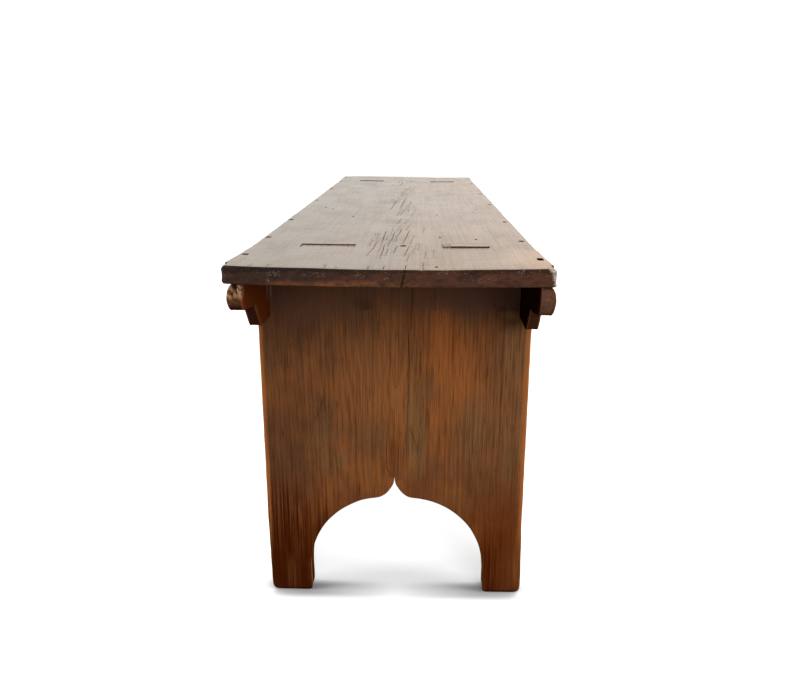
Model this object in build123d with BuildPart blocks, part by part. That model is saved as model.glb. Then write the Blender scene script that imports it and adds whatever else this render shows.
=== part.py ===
from build123d import *
from collections import namedtuple
import os

# Farmhouse bench in millimetres: a plank seat on two board legs.
# Each leg comes up through the seat in two wedged tenons, an apron is let into the
# legs' upper corners under each long edge of the seat, and cut nails hold the rest.
# +Z is up, the seat runs along Y with its front end at -Y, and the origin is on the
# floor under the middle of the bench.

# Seat plank
SEAT_LENGTH = 1304
SEAT_WIDTH = 330
SEAT_HEIGHT = 457  # floor to the top of the seat
SEAT_THICK = 19
SEAT_CORNER = 10  # rounding of the plank's corners in plan
SEAT_TOP_EASE = 3
SEAT_UNDER_EASE = 2
SEAT_SHIFT = 3.4  # how far the plank lies to the left of the frame under it

# Leg boards, with an ogee arch that ends in a narrow cusp
LEG_WIDTH = 326.5
LEG_THICK = 23
LEG_SET_IN = 139  # seat end to the leg's outer face
ARCH_LEFT = 109.5  # leg's middle to the left foot
ARCH_RIGHT = 114.5
ARCH_HEIGHT = 163  # floor to the start of the cusp's round tip
JAMB_HEIGHT = 41  # straight part of the feet's inner edges
CUSP_RADIUS = 26
CUSP_SLOT = 2.4  # width of the cusp at its tip
FOOT_OUTER_WEAR = 7
FOOT_INNER_WEAR = 4

# Through tenons, measured across the bench, and the wedge at each one's inner end
FRONT_LEFT_TENON = 55
FRONT_RIGHT_TENON = 45
REAR_LEFT_TENON = 48
REAR_RIGHT_TENON = 48
FRONT_TENON_REACH = 110  # leg's middle to the tenons' outer ends
REAR_TENON_REACH = 114
FRONT_LEFT_RISE = -1.4  # tenon's top above the seat's top
FRONT_RIGHT_RISE = 1.0
REAR_LEFT_RISE = -2.0
REAR_RIGHT_RISE = -2.0
WEDGE_TOP = 9  # wedge's width level with the seat's top
WEDGE_FOOT = 5  # wedge's width level with the seat's underside
WEDGE_LIFT = 1  # wedge's foot above the leg's shoulder
MORTISE_PLAY = 0.2

# Aprons, with a rounded nose, a step and a raked cut at each end
APRON_THICK = 15
APRON_DEPTH = 65
APRON_END_GAP = 1.5  # seat end to the apron's nose
NOSE_DEPTH = 28
NOSE_RADIUS = 16
STEP_LENGTH = 64  # apron's end to the top of the raked cut
STEP_DROP = 6
RAKE_RUN = 28
RAKE_ROUND = 6
NOTCH_PLAY = 0.2

# Cut nails: rectangular heads on shanks that taper along the grain
NAIL_HEAD_LENGTH = 7
NAIL_HEAD_WIDTH = 5
NAIL_HEAD_THICK = 2
NAIL_SHANK = 4.2  # shank's width under the head
NAIL_POINT = 1.6  # shank's width at its tip
NAIL_THICK = 2.8
NAIL_SINK = 0.6  # head's top below the wood
NAIL_PLAY = 0.1
SEAT_NAIL_LENGTH = 44  # under the head
LEG_NAIL_LENGTH = 60
APRON_NAIL_LENGTH = 48
SEAT_NAIL_EDGE = 9  # seat's long edge to the nails' line
LEG_NAIL_OFFSET = 10  # leg's middle to the nail between its tenons
APRON_NAIL_TOP = 17  # apron's top edge to its upper nail
APRON_NAIL_PITCH = 32

# Nails along the seat's edges, as distances from the nearer end, and from the middle
LEFT_NAILS_FROM_FRONT = (77, 210, 385)
LEFT_NAILS_FROM_REAR = (40, 175, 375)
LEFT_NAIL_PAST_MIDDLE = 24
RIGHT_NAILS_FROM_FRONT = (187, 372)
RIGHT_NAILS_FROM_REAR = (60, 208, 479)
RIGHT_NAIL_PAST_MIDDLE = -37
LOST_NAIL_FROM_FRONT = 58  # the right edge's front hole has lost its nail

# Places that follow from the sizes
SEAT_UNDER = SEAT_HEIGHT - SEAT_THICK
HALF_LENGTH = SEAT_LENGTH / 2
FRAME_X = (SEAT_WIDTH / 2 + SEAT_SHIFT - LEG_WIDTH / 2) / 2
SEAT_X = FRAME_X - SEAT_SHIFT
LEG_Y = HALF_LENGTH - LEG_SET_IN - LEG_THICK / 2
APRON_BOTTOM = SEAT_UNDER - APRON_DEPTH

Tenon = namedtuple("Tenon", "name end side width reach rise")
TENONS = [
    Tenon("front_left", -1, -1, FRONT_LEFT_TENON, FRONT_TENON_REACH, FRONT_LEFT_RISE),
    Tenon("front_right", -1, 1, FRONT_RIGHT_TENON, FRONT_TENON_REACH, FRONT_RIGHT_RISE),
    Tenon("rear_left", 1, -1, REAR_LEFT_TENON, REAR_TENON_REACH, REAR_LEFT_RISE),
    Tenon("rear_right", 1, 1, REAR_RIGHT_TENON, REAR_TENON_REACH, REAR_RIGHT_RISE),
]


def keep(piece, label):
    """Name a finished piece and write it."""
    piece.label = label
    export_step(piece, f"parts/{label}.step")


def leg_plane(end):
    """Upright plane through a leg's middle: local x across the bench, local y up."""
    return Plane(origin=(FRAME_X, end * LEG_Y, 0), x_dir=(1, 0, 0), z_dir=(0, -1, 0))


def wedge_corners(tenon, bottom, top):
    """Corners of the tapered room at a tenon's inner end, between two heights."""
    flare = (WEDGE_TOP - WEDGE_FOOT) / SEAT_THICK
    inner = tenon.reach - tenon.width
    low = inner - WEDGE_FOOT - flare * (bottom - SEAT_UNDER)
    high = inner - WEDGE_FOOT - flare * (min(top, SEAT_HEIGHT) - SEAT_UNDER)
    corners = [(inner, bottom), (low, bottom), (high, top), (inner, top)]
    return [(tenon.side * x, z) for x, z in corners]


def draw_arch_half(half_width, side):
    """Half of the leg's arch: a straight jamb, a round haunch, and a reversed curve up to the cusp."""
    tip = CUSP_SLOT / 2
    run = half_width - tip
    rise = ARCH_HEIGHT - JAMB_HEIGHT
    haunch_radius = ((CUSP_RADIUS - run) ** 2 + rise**2 - CUSP_RADIUS**2) / (2 * run)
    haunch_centre = Vector(half_width - haunch_radius, JAMB_HEIGHT)
    cusp_centre = Vector(tip + CUSP_RADIUS, ARCH_HEIGHT)
    meeting = haunch_centre + (cusp_centre - haunch_centre).normalized() * haunch_radius
    jamb = Line((side * half_width, 0), (side * half_width, JAMB_HEIGHT))
    haunch = TangentArc(jamb @ 1, (side * meeting.X, meeting.Y), tangent=(0, 1))
    TangentArc(haunch @ 1, (side * tip, ARCH_HEIGHT), tangent=haunch % 1)


def cut_nail(length, play=0, head_room=0):
    """A nail pointing down, its head's top at the origin; with play and head room, the hole it sits in."""
    with BuildPart() as nail:
        with BuildSketch(Plane.YZ):
            with BuildLine():
                neck = NAIL_SHANK / 2 + play
                point = NAIL_POINT / 2 + play
                tip_z = -NAIL_HEAD_THICK - length - play
                Polyline(
                    (-neck, -NAIL_HEAD_THICK),
                    (neck, -NAIL_HEAD_THICK),
                    (point, tip_z),
                    (-point, tip_z),
                    close=True,
                )
            make_face()
        extrude(amount=NAIL_THICK / 2 + play, both=True)
        with BuildSketch(Plane.XY.offset(-NAIL_HEAD_THICK)):
            Rectangle(NAIL_HEAD_WIDTH + 2 * play, NAIL_HEAD_LENGTH + 2 * play)
        extrude(amount=NAIL_HEAD_THICK + head_room)
    return nail.part


def nail_hole(length):
    return cut_nail(length, NAIL_PLAY, NAIL_SINK)


def edge_nails(side, from_front, past_middle, from_rear):
    """Head places along one long edge of the seat."""
    x = SEAT_X + side * (SEAT_WIDTH / 2 - SEAT_NAIL_EDGE)
    stations = [station - HALF_LENGTH for station in from_front]
    stations += [HALF_LENGTH - station for station in from_rear]
    stations += [past_middle] if past_middle is not None else []
    return [Location((x, y, SEAT_HEIGHT - NAIL_SINK)) for y in stations]


def apron_nails(side):
    """Head places on one apron's outer face, two at each leg."""
    x = FRAME_X + side * (LEG_WIDTH / 2 - NAIL_SINK)
    heights = [SEAT_UNDER - APRON_NAIL_TOP - step * APRON_NAIL_PITCH for step in (0, 1)]
    turn = (0, side * 90, 0)
    return [Location((x, end * LEG_Y, z), turn) for end in (-1, 1) for z in heights]


os.makedirs("parts", exist_ok=True)

left_spots = edge_nails(-1, LEFT_NAILS_FROM_FRONT, LEFT_NAIL_PAST_MIDDLE, LEFT_NAILS_FROM_REAR)
right_spots = edge_nails(1, RIGHT_NAILS_FROM_FRONT, RIGHT_NAIL_PAST_MIDDLE, RIGHT_NAILS_FROM_REAR)
lost_spots = edge_nails(1, (LOST_NAIL_FROM_FRONT,), None, ())
leg_spots = [
    Location((FRAME_X + LEG_NAIL_OFFSET, end * LEG_Y, SEAT_HEIGHT - NAIL_SINK)) for end in (-1, 1)
]

# Seat: one wide plank, eased all round, mortised for the tenons and bored by the nails
with BuildPart() as seat_plank:
    with BuildSketch(Plane.XY.offset(SEAT_UNDER)):
        with Locations((SEAT_X, 0)):
            RectangleRounded(SEAT_WIDTH, SEAT_LENGTH, SEAT_CORNER)
    extrude(amount=SEAT_THICK)
    fillet(seat_plank.faces().sort_by(Axis.Z)[-1].edges(), SEAT_TOP_EASE)
    fillet(seat_plank.faces().sort_by(Axis.Z)[0].edges(), SEAT_UNDER_EASE)
    for tenon in TENONS:
        with BuildSketch(leg_plane(tenon.end)):
            middle = tenon.side * (tenon.reach + MORTISE_PLAY / 2 - tenon.width / 2)
            with Locations((middle, SEAT_UNDER)):
                Rectangle(tenon.width + MORTISE_PLAY, SEAT_THICK, align=(Align.CENTER, Align.MIN))
            with BuildLine():
                Polyline(*wedge_corners(tenon, SEAT_UNDER, SEAT_HEIGHT), close=True)
            make_face()
        extrude(amount=LEG_THICK / 2 + MORTISE_PLAY, both=True, mode=Mode.SUBTRACT)
    with Locations(*left_spots, *right_spots, *lost_spots):
        add(nail_hole(SEAT_NAIL_LENGTH), mode=Mode.SUBTRACT)
    with Locations(*leg_spots):
        add(nail_hole(LEG_NAIL_LENGTH), mode=Mode.SUBTRACT)
keep(seat_plank.part, "seat_plank")

# Legs: one upright board each, notched for the aprons, with its tenons in one piece
for name, end, spot in (("front", -1, leg_spots[0]), ("rear", 1, leg_spots[1])):
    with BuildPart() as leg_board:
        with BuildSketch(leg_plane(end)):
            Rectangle(LEG_WIDTH, SEAT_UNDER, align=(Align.CENTER, Align.MIN))
            with Locations((-LEG_WIDTH / 2, SEAT_UNDER), (LEG_WIDTH / 2, SEAT_UNDER)):
                Rectangle(
                    2 * APRON_THICK,
                    APRON_DEPTH + NOTCH_PLAY,
                    align=(Align.CENTER, Align.MAX),
                    mode=Mode.SUBTRACT,
                )
            for tenon in TENONS:
                if tenon.end == end:
                    middle = tenon.side * (tenon.reach - tenon.width / 2)
                    with Locations((middle, SEAT_UNDER)):
                        Rectangle(
                            tenon.width, SEAT_THICK + tenon.rise, align=(Align.CENTER, Align.MIN)
                        )
            with BuildLine():
                draw_arch_half(ARCH_LEFT, -1)
                draw_arch_half(ARCH_RIGHT, 1)
                ThreePointArc(
                    (-CUSP_SLOT / 2, ARCH_HEIGHT),
                    (0, ARCH_HEIGHT + CUSP_SLOT / 2),
                    (CUSP_SLOT / 2, ARCH_HEIGHT),
                )
                Line((-ARCH_LEFT, 0), (ARCH_RIGHT, 0))
            make_face(mode=Mode.SUBTRACT)
        extrude(amount=LEG_THICK / 2, both=True)
        foot_corners = leg_board.edges().filter_by(Axis.Y).group_by(Axis.Z)[0].sort_by(Axis.X)
        fillet((foot_corners[0], foot_corners[-1]), FOOT_OUTER_WEAR)
        foot_corners = leg_board.edges().filter_by(Axis.Y).group_by(Axis.Z)[0].sort_by(Axis.X)
        fillet((foot_corners[1], foot_corners[2]), FOOT_INNER_WEAR)
        with Locations(spot):
            add(nail_hole(LEG_NAIL_LENGTH), mode=Mode.SUBTRACT)
        with Locations(*apron_nails(-1), *apron_nails(1)):
            add(nail_hole(APRON_NAIL_LENGTH), mode=Mode.SUBTRACT)
    keep(leg_board.part, f"{name}_leg_board")

# Aprons: a narrow board under each long edge of the seat, in the legs' notches
for name, side, spots in (("left", -1, left_spots), ("right", 1, right_spots + lost_spots)):
    with BuildPart() as apron:
        middle_x = FRAME_X + side * (LEG_WIDTH - APRON_THICK) / 2
        with BuildSketch(Plane.YZ.offset(middle_x)):
            with BuildLine():
                end_y = APRON_END_GAP - HALF_LENGTH
                nose_bottom = SEAT_UNDER - NOSE_DEPTH
                top = Line((0, SEAT_UNDER), (end_y, SEAT_UNDER))
                nose = Line(top @ 1, (end_y, nose_bottom + NOSE_RADIUS))
                nose_round = TangentArc(
                    nose @ 1, (end_y + NOSE_RADIUS, nose_bottom), tangent=(0, -1)
                )
                step = Line(nose_round @ 1, (end_y + STEP_LENGTH, nose_bottom - STEP_DROP))
                rake = Line(step @ 1, (end_y + STEP_LENGTH + RAKE_RUN, APRON_BOTTOM))
                Line(rake @ 1, (0, APRON_BOTTOM))
                mirror(about=Plane.YZ)
            make_face()
        extrude(amount=APRON_THICK / 2, both=True)
        fillet(apron.edges().filter_by(Axis.X).group_by(Axis.Z)[0], RAKE_ROUND)
        with Locations(*spots):
            add(nail_hole(SEAT_NAIL_LENGTH), mode=Mode.SUBTRACT)
        with Locations(*apron_nails(side)):
            add(nail_hole(APRON_NAIL_LENGTH), mode=Mode.SUBTRACT)
    keep(apron.part, f"{name}_apron")

# Wedges: one driven down at the inner end of each tenon
for tenon in TENONS:
    with BuildPart() as wedge:
        with BuildSketch(leg_plane(tenon.end)):
            with BuildLine():
                corners = wedge_corners(tenon, SEAT_UNDER + WEDGE_LIFT, SEAT_HEIGHT + tenon.rise)
                Polyline(*corners, close=True)
            make_face()
        extrude(amount=LEG_THICK / 2, both=True)
    keep(wedge.part, f"{tenon.name}_tenon_wedge")

# Nails: seat to aprons, seat to the legs' top edges, aprons to the legs' notches
for name, spots, length in (
    ("left_seat_nails", left_spots, SEAT_NAIL_LENGTH),
    ("right_seat_nails", right_spots, SEAT_NAIL_LENGTH),
    ("leg_top_nails", leg_spots, LEG_NAIL_LENGTH),
    ("left_apron_nails", apron_nails(-1), APRON_NAIL_LENGTH),
    ("right_apron_nails", apron_nails(1), APRON_NAIL_LENGTH),
):
    with BuildPart() as nails:
        with Locations(*spots):
            add(cut_nail(length))
    keep(nails.part, name)
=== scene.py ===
import math

import bmesh
import bpy
import numpy as np
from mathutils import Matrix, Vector, noise
from mathutils.geometry import delaunay_2d_cdt


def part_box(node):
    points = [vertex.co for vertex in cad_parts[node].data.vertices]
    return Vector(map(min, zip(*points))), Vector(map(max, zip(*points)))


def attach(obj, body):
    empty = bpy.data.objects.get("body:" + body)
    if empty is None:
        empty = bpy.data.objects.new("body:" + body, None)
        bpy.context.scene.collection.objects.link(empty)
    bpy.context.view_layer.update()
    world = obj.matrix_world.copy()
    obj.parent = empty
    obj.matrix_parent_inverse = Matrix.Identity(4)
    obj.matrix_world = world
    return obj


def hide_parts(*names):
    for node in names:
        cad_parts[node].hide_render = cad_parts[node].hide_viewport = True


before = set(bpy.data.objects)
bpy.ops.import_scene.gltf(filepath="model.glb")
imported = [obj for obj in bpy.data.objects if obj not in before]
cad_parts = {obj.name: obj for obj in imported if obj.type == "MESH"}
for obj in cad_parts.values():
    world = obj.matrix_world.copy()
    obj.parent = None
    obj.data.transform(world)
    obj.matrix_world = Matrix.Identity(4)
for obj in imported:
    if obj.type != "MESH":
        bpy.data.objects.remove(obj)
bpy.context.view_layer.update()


# Leg boards: two upright boards of stained softwood, sawn out below to an ogee arch between two feet
# and cut above to two notches and two tenons, which pass up through the seat. Grain runs upright.
LEG_BOARDS = {"front_leg_board": -1, "rear_leg_board": 1}
LEG_POINT_GAP = 0.003
LEG_GRID = (0.006, 0.009)
LEG_WALL_ROWS = 5
LEG_ARRIS = 0.0012
LEG_FOOT_ARRIS = 0.0018
LEG_SIDE_WORN = 0.0010
ARCH_WORN = 0.0018
JAMB_WORN = 0.0011
FOOT_LEAN = 0.0016
FOOT_LEAN_BELOW = 0.10
RIGHT_JAMB_SPLAY = 0.0020
JAMB_SPLAY_BELOW = 0.055
FOOT_ROUND_BELOW = 0.018
FOOT_ROUND_PASSES = 16
OUTER_CORNER, LEFT_CORNER, RIGHT_CORNER = 0.5, 0.2, 0.05
CUSP_HALF = 0.005
EDGE_NIBBLE = 0.0003
LEG_FACE_WAVE = 0.00022
WALL_WAVE = 0.00025
CUSP_POINT = 0.014
ARCH_HALF = 0.135
TENON_ARRIS = 0.0004
STRAIGHT_CUT = 0.025
SHARP_CORNER = 40
SHARP_FACES = 38
SPLIT_STEP = 0.007
SPLIT_WANDER = 0.0012
ARRIS_TURNS = (0, 25, 50, 72, 90)
ARRIS_RUBBED = (0.7, 1.0, 0.9, 0.4, 0.1)
SEAT_HOLLOW = 0.0005
SEAT_END_WEAR = 0.0005
SEAT_FULL_END = 0.0022
SEAT_CUP = {-1: (0.0027, 0.0008, 0.0022), 1: (0.0009, 0.0003, 0.0)}
CUP_PLACES = (-1, -0.8, 1)
seat_low, seat_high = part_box("seat_plank")
LEG_LINE = sum(corner.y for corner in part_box("rear_leg_board")) / 2
LEG_MIDDLE = sum(corner.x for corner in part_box("front_leg_board")) / 2


def ramp(value, start, length):
    """0 up to a start, 1 from a length past it, and in proportion between."""
    return np.clip((value - start) / length, 0, 1)


def seat_shares(x, y):
    """Where a place lies on the seat: from -1 to 1 across it and along it."""
    across = 2 * (x - (seat_low.x + seat_high.x) / 2) / (seat_high.x - seat_low.x)
    return across, 2 * y / (seat_high.y - seat_low.y)


def seat_cup(x, y):
    """How far the seat's long edges have lifted as the plank cupped: its left edge most."""
    across, along = seat_shares(x, y)
    left, right = (np.interp(along, CUP_PLACES, SEAT_CUP[edge]) for edge in (-1, 1))
    return np.abs(across) ** 1.3 * np.where(across < 0, left, right)


def seat_wear(x, y):
    """How far the seat's top lies below a flat plank: hollowed along its middle, less toward its far end."""
    across, along = seat_shares(x, y)
    end = ramp(-along, 0.84, 0.16) ** 2 * np.clip(1 + 4 * across, 0, 1)
    hollow = np.clip(1 - across**2, 0, 1) * (SEAT_HOLLOW + SEAT_END_WEAR * end)
    full = np.clip(1 - ((across + 0.3) / 0.75) ** 2, 0, 1) * np.clip(along, 0, 1)
    return hollow - SEAT_FULL_END * full - seat_cup(x, y)


def wander(points, size, seed):
    """Smooth random values from -1 to 1 at points in a plane; size is how wide one swell is."""
    return np.array([noise.noise((u / size, v / size, seed * 7.31)) for u, v in points])


def uneven(depth, points, size, seed):
    """Smooth random depths at points in a plane, from nothing to twice a given depth."""
    return depth * (1 + wander(points, size, seed))


def face_loops(node, axis, high):
    """Outlines of one flat face of a CAD board, the largest first, as points in that face's plane."""
    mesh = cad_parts[node].data
    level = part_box(node)[high][axis]
    plane = [i for i in range(3) if i != axis]
    edges = {}
    for face in mesh.polygons:
        corners = [mesh.vertices[i].co for i in face.vertices]
        if all(abs(corner[axis] - level) < 1e-5 for corner in corners):
            flat = [tuple(round(corner[i], 5) for i in plane) for corner in corners]
            edges.update(dict.fromkeys(zip(flat, flat[1:] + flat[:1])))
    follow = {start: end for start, end in edges if (end, start) not in edges}
    loops = []
    while follow:
        start, point = follow.popitem()
        loop = [start]
        while point != start:
            loop.append(point)
            point = follow.pop(point)
        loop = np.array(loop)
        area = np.cross(loop, np.roll(loop, -1, axis=0)).sum()
        loops.append(loop if area > 0 else loop[::-1])
    return sorted(loops, key=lambda loop: -np.ptp(loop, axis=0).sum())


def draw_even(loop, gap):
    """An outline with evenly spaced points: arcs are smooth again, straight cuts and corners are kept."""
    ahead = np.roll(loop, -1, axis=0) - loop
    length = np.linalg.norm(ahead, axis=1)
    ahead = ahead / length[:, None]
    turn = np.degrees(np.arccos(np.clip((ahead * np.roll(ahead, 1, axis=0)).sum(axis=1), -1, 1)))
    straight = length > STRAIGHT_CUT
    count = len(loop)

    def heading(segment, corner):
        if straight[segment] or turn[corner] > SHARP_CORNER:
            return ahead[segment]
        other = corner - 1 if segment == corner else corner
        if straight[other]:
            return ahead[other]
        mean = ahead[segment] + ahead[other]
        return mean / np.linalg.norm(mean)

    points = []
    for i in range(count):
        j = (i + 1) % count
        leave = heading(i, i) * length[i]
        arrive = heading(i, j) * length[i]
        steps = max(1, round(length[i] / gap))
        for t in np.arange(steps) / steps:
            points.append((2 * t**3 - 3 * t**2 + 1) * loop[i] + (t**3 - 2 * t**2 + t) * leave
                          + (3 * t**2 - 2 * t**3) * loop[j] + (t**3 - t**2) * arrive)
    return np.array(points)


def inside(points, loop):
    """Which points lie within a closed outline."""
    start, end = loop, np.roll(loop, -1, axis=0)
    rise = np.where(end[:, 1] == start[:, 1], 1.0, end[:, 1] - start[:, 1])
    found = []
    for part in np.array_split(points, len(points) // 3000 + 1):
        level = part[:, 1:]
        spans = (start[:, 1] > level) != (end[:, 1] > level)
        crossing = start[:, 0] + (end[:, 0] - start[:, 0]) * (level - start[:, 1]) / rise
        found.append((spans & (part[:, :1] < crossing)).sum(axis=1) % 2 == 1)
    return np.concatenate(found)


def reach(points, line, closed=True):
    """Distance from each point to the nearest part of a line."""
    start = line if closed else line[:-1]
    step = np.roll(line, -1, axis=0)[:len(start)] - start
    square = np.maximum((step**2).sum(axis=1), 1e-15)
    found = []
    for part in np.array_split(points, len(points) // 3000 + 1):
        offset = part[:, None] - start
        share = np.clip((offset * step).sum(axis=2) / square, 0, 1)
        found.append(np.linalg.norm(offset - share[:, :, None] * step, axis=2).min(axis=1))
    return np.concatenate(found)


def into_wood(loop, hole):
    """Unit direction from each point of an outline into the wood."""
    along = np.roll(loop, -1, axis=0) - np.roll(loop, 1, axis=0)
    side = np.stack([-along[:, 1], along[:, 0]], axis=1) / np.linalg.norm(along, axis=1)[:, None]
    return -side if hole else side


def drying_split(start, end, width, depth, seed, sway=SPLIT_WANDER):
    """A drying crack in a face: a line that wanders a little between two lips that close at its ends."""
    start, end = np.array(start), np.array(end)
    length = np.linalg.norm(end - start)
    share = np.linspace(0, 1, max(4, round(length / SPLIT_STEP)) + 1)
    across = np.array([start[1] - end[1], end[0] - start[0]]) / length
    opening = np.sin(np.pi * share) ** 0.4
    drift = wander(np.stack([share * length, 0 * share], axis=1), 0.04, seed) * sway
    line = start + (end - start) * share[:, None] + across * (drift * opening)[:, None]
    lip = across * (width / 2 * opening)[:, None]
    points = np.concatenate([line, (line - lip)[1:-1], (line + lip)[1:-1]])
    last, side = len(line) - 1, len(line) - 2
    left = [0, *range(last + 1, last + 1 + side), last]
    right = [0, *range(last + 1 + side, last + 1 + 2 * side), last]
    chains = [range(last + 1), left, right]
    edges = [pair for chain in chains for pair in zip(chain[:-1], chain[1:])]
    drop = np.concatenate([depth * opening, np.zeros(2 * side)])
    # The crack carries painted shade: darkest along its line where it opens widest, faint on its lips.
    dark = np.concatenate([0.2 + 0.8 * opening, np.full(2 * side, 0.06)])
    return {"points": points, "drop": drop, "dark": dark, "edges": edges, "line": line,
            "clear": width / 2 + 0.001}


def pocket(middle, half, depth, dark, seed, sides=14):
    """A hole in a face: an uneven squarish lip, a steep wall and a floor."""
    angle = np.arange(sides) * 2 * math.pi / sides
    facing = np.stack([np.cos(angle), np.sin(angle)], axis=1)
    squared = facing / ((facing**4).sum(axis=1) ** 0.25)[:, None]
    lip = squared * half * (1 + 0.1 * wander(facing, 0.6, seed))[:, None] + middle
    ring = np.arange(sides)
    points, drop, shade, edges = [], [], [], []
    # Each ring of the hole carries painted shade: none just outside, a little on the lip, full down the wall
    # and on the floor.
    for size, sunk, tone in ((1.12, 0.0, 0.0), (1.0, 0.0, dark**8), (0.88, 0.75, dark), (0.45, 1.0, dark)):
        edges += [(len(points) + i, len(points) + (i + 1) % sides) for i in ring]
        points += list((lip - middle) * size + middle)
        drop += [sunk * depth] * sides
        shade += [tone] * sides
    return {"points": np.array(points), "drop": np.array(drop), "dark": np.array(shade), "edges": edges,
            "line": np.array([middle, middle]) + [[-1e-5, 0], [1e-5, 0]], "clear": max(half) * 1.25}


def note(mesh, label, values, kind="FLOAT", field="value"):
    """Writes one value for each point of a mesh, which its finish can read."""
    mesh.attributes.new(label, kind, "POINT").data.foreach_set(field, np.ravel(np.array(values, float)))


def carve_board(name, loops, place, levels, grid, arris, grain, relief=None, cuts=(), rows=4, side=None):
    """A solid board. loops[0] is its outline and the others are holes through it. levels are its lower
    and upper face, arris(loop, upper) the rounding of its edges, relief(points, upper) how far a face is
    worn down, side(loop, share) how far a wall is pushed in, and cuts open the upper face."""
    verts, levelled, faces, rims = [], [], [], {}
    # The second mark holds painted shade in cracks, holes and the walls of holes; the third marks the side
    # walls.
    marks = {"rubbed": [], "hollow_shade": [], "wall": []}

    def lay(spot, level, *values):
        levelled.append(level)
        verts.append(place(*spot, level))
        for kept, value in zip(marks.values(), values):
            kept.append(value)

    for upper in (True, False):
        points, drop, bare, dark, edges, rim = [], [], [], [], [], {}

        def scatter(spots, sunk, rub, shade):
            points.extend(spots)
            for kept, value in ((drop, sunk), (bare, rub), (dark, shade)):
                kept.extend(np.broadcast_to(value, len(spots)))

        for number, loop in enumerate(loops):
            inward, radius = into_wood(loop, number > 0), arris(loop, upper)
            for turn, rub in zip(ARRIS_TURNS, ARRIS_RUBBED):
                inset = radius * (1 - math.cos(math.radians(turn)))
                ring = loop + inward * inset[:, None]
                keep = np.ones(len(ring), bool)
                if turn == 0:
                    rim[number] = range(len(points), len(points) + len(loop))
                    edges += zip(rim[number], [*rim[number][1:], rim[number][0]])
                else:
                    for other in loops:
                        keep &= reach(ring, other) > 0.7 * inset
                scatter(ring[keep], (radius * (1 - math.sin(math.radians(turn))))[keep], rub, 0.0)
        low, high = loops[0].min(axis=0), loops[0].max(axis=0)
        u, v = np.meshgrid(*(np.arange(low[i] + grid[i] / 2, high[i], grid[i]) for i in (0, 1)))
        v = v + np.where(np.arange(u.shape[1]) % 2, grid[1] / 2, 0)
        field = np.stack([u.ravel(), v.ravel()], axis=1)
        for number, loop in enumerate(loops):
            field = field[inside(field, loop) == (number == 0)]
            field = field[reach(field, loop) > arris(loop, upper).max() + min(grid) / 3]
        for cut in cuts if upper else ():
            field = field[reach(field, cut["line"], closed=False) > cut["clear"]]
            edges += [(a + len(points), b + len(points)) for a, b in cut["edges"]]
            scatter(cut["points"], cut["drop"], 0.0, cut["dark"])
        scatter(field, 0.0, 0.0, 0.0)
        made, _, triangles, sources, _, _ = delaunay_2d_cdt([Vector(p) for p in points], edges, [], 0, 1e-7)
        made = np.array(made)
        centres = made[np.array(triangles)].mean(axis=1)
        within = inside(centres, loops[0])
        for loop in loops[1:]:
            within &= ~inside(centres, loop)
        worn = relief(made, upper) if relief else np.zeros(len(made))
        home = {}
        first = len(verts)
        for i, source in enumerate(sources):
            home.update(dict.fromkeys(source, first + i))
            depth, rub, shade = (max((kept[s] for s in source), default=0.0) for kept in (drop, bare, dark))
            depth += worn[i]
            lay(made[i], levels[1] - depth if upper else levels[0] + depth, rub, shade, 0.0)
        faces += [[first + i for i in triangle] for triangle, kept in zip(triangles, within) if kept]
        rims[upper] = {number: [home[i] for i in rim[number]] for number in rim}
    for number, loop in enumerate(loops):
        inward = into_wood(loop, number > 0)
        above, below = rims[True][number], rims[False][number]
        strips = [above]
        for row in range(1, rows):
            share = row / rows
            push = side(loop, share) if side else np.zeros(len(loop))
            strips.append(range(len(verts), len(verts) + len(loop)))
            for spot, top, foot in zip(loop + inward * push[:, None], above, below):
                level = levelled[top] + (levelled[foot] - levelled[top]) * share
                # Walls of holes through the board carry painted shade.
                lay(spot, level, 0.0, 0.9 if number else 0.0, 1.0)
        strips.append(below)
        for top, foot in zip(strips[:-1], strips[1:]):
            faces += [[top[i - 1], foot[i - 1], foot[i], top[i]] for i in range(len(loop))]
    mesh = bpy.data.meshes.new(name)
    mesh.from_pydata(verts, [], faces)
    for label, values in marks.items():
        note(mesh, label, values)
    work = bmesh.new()
    work.from_mesh(mesh)
    bmesh.ops.delete(work, geom=[vert for vert in work.verts if not vert.link_faces])
    bmesh.ops.recalc_face_normals(work, faces=work.faces)
    work.to_mesh(mesh)
    work.free()
    ends = np.abs(np.array([vert.normal for vert in mesh.vertices]) @ np.array(grain))
    note(mesh, "end_grain", ramp(ends, 0.45, 0.35))
    mesh.shade_smooth()
    mesh.set_sharp_from_angle(angle=math.radians(SHARP_FACES))
    board = bpy.data.objects.new(name, mesh)
    bpy.context.scene.collection.objects.link(board)
    return board


def add(kind, inputs=None, **settings):
    """One node in the tree that is being made. inputs are values or sockets, by the input's name or place."""
    made = tree.nodes.new(kind if "Node" in kind else "ShaderNode" + kind)
    for key, value in settings.items():
        setattr(made, key, value)
    for key, value in (inputs or {}).items():
        if isinstance(value, bpy.types.NodeSocket):
            tree.links.new(value, made.inputs[key])
        else:
            made.inputs[key].default_value = value
    return made


def calc(operation, a, b=0.0):
    """One sum on two values."""
    return add("Math", {0: a, 1: b}, operation=operation).outputs[0]


def times(first, *others):
    """Values multiplied together."""
    for other in others:
        first = calc("MULTIPLY", first, other)
    return first


def plus(a, b):
    """Two values added."""
    return calc("ADD", a, b)


def shifted(value, by, size):
    """A value moved up and down by noise, half of size at most each way."""
    return plus(value, times(calc("SUBTRACT", by, 0.5), size))


def vector(operation, a, b):
    """One sum on two vectors."""
    return add("VectorMath", {0: a, 1: b}, operation=operation).outputs[0]


def span(value, low, high, start=0.0, end=1.0):
    """A value eased from start to end as it goes from low to high."""
    inputs = {"Value": value, 1: low, 2: high, 3: start, 4: end}
    return add("MapRange", inputs, interpolation_type="SMOOTHSTEP").outputs[0]


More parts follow.
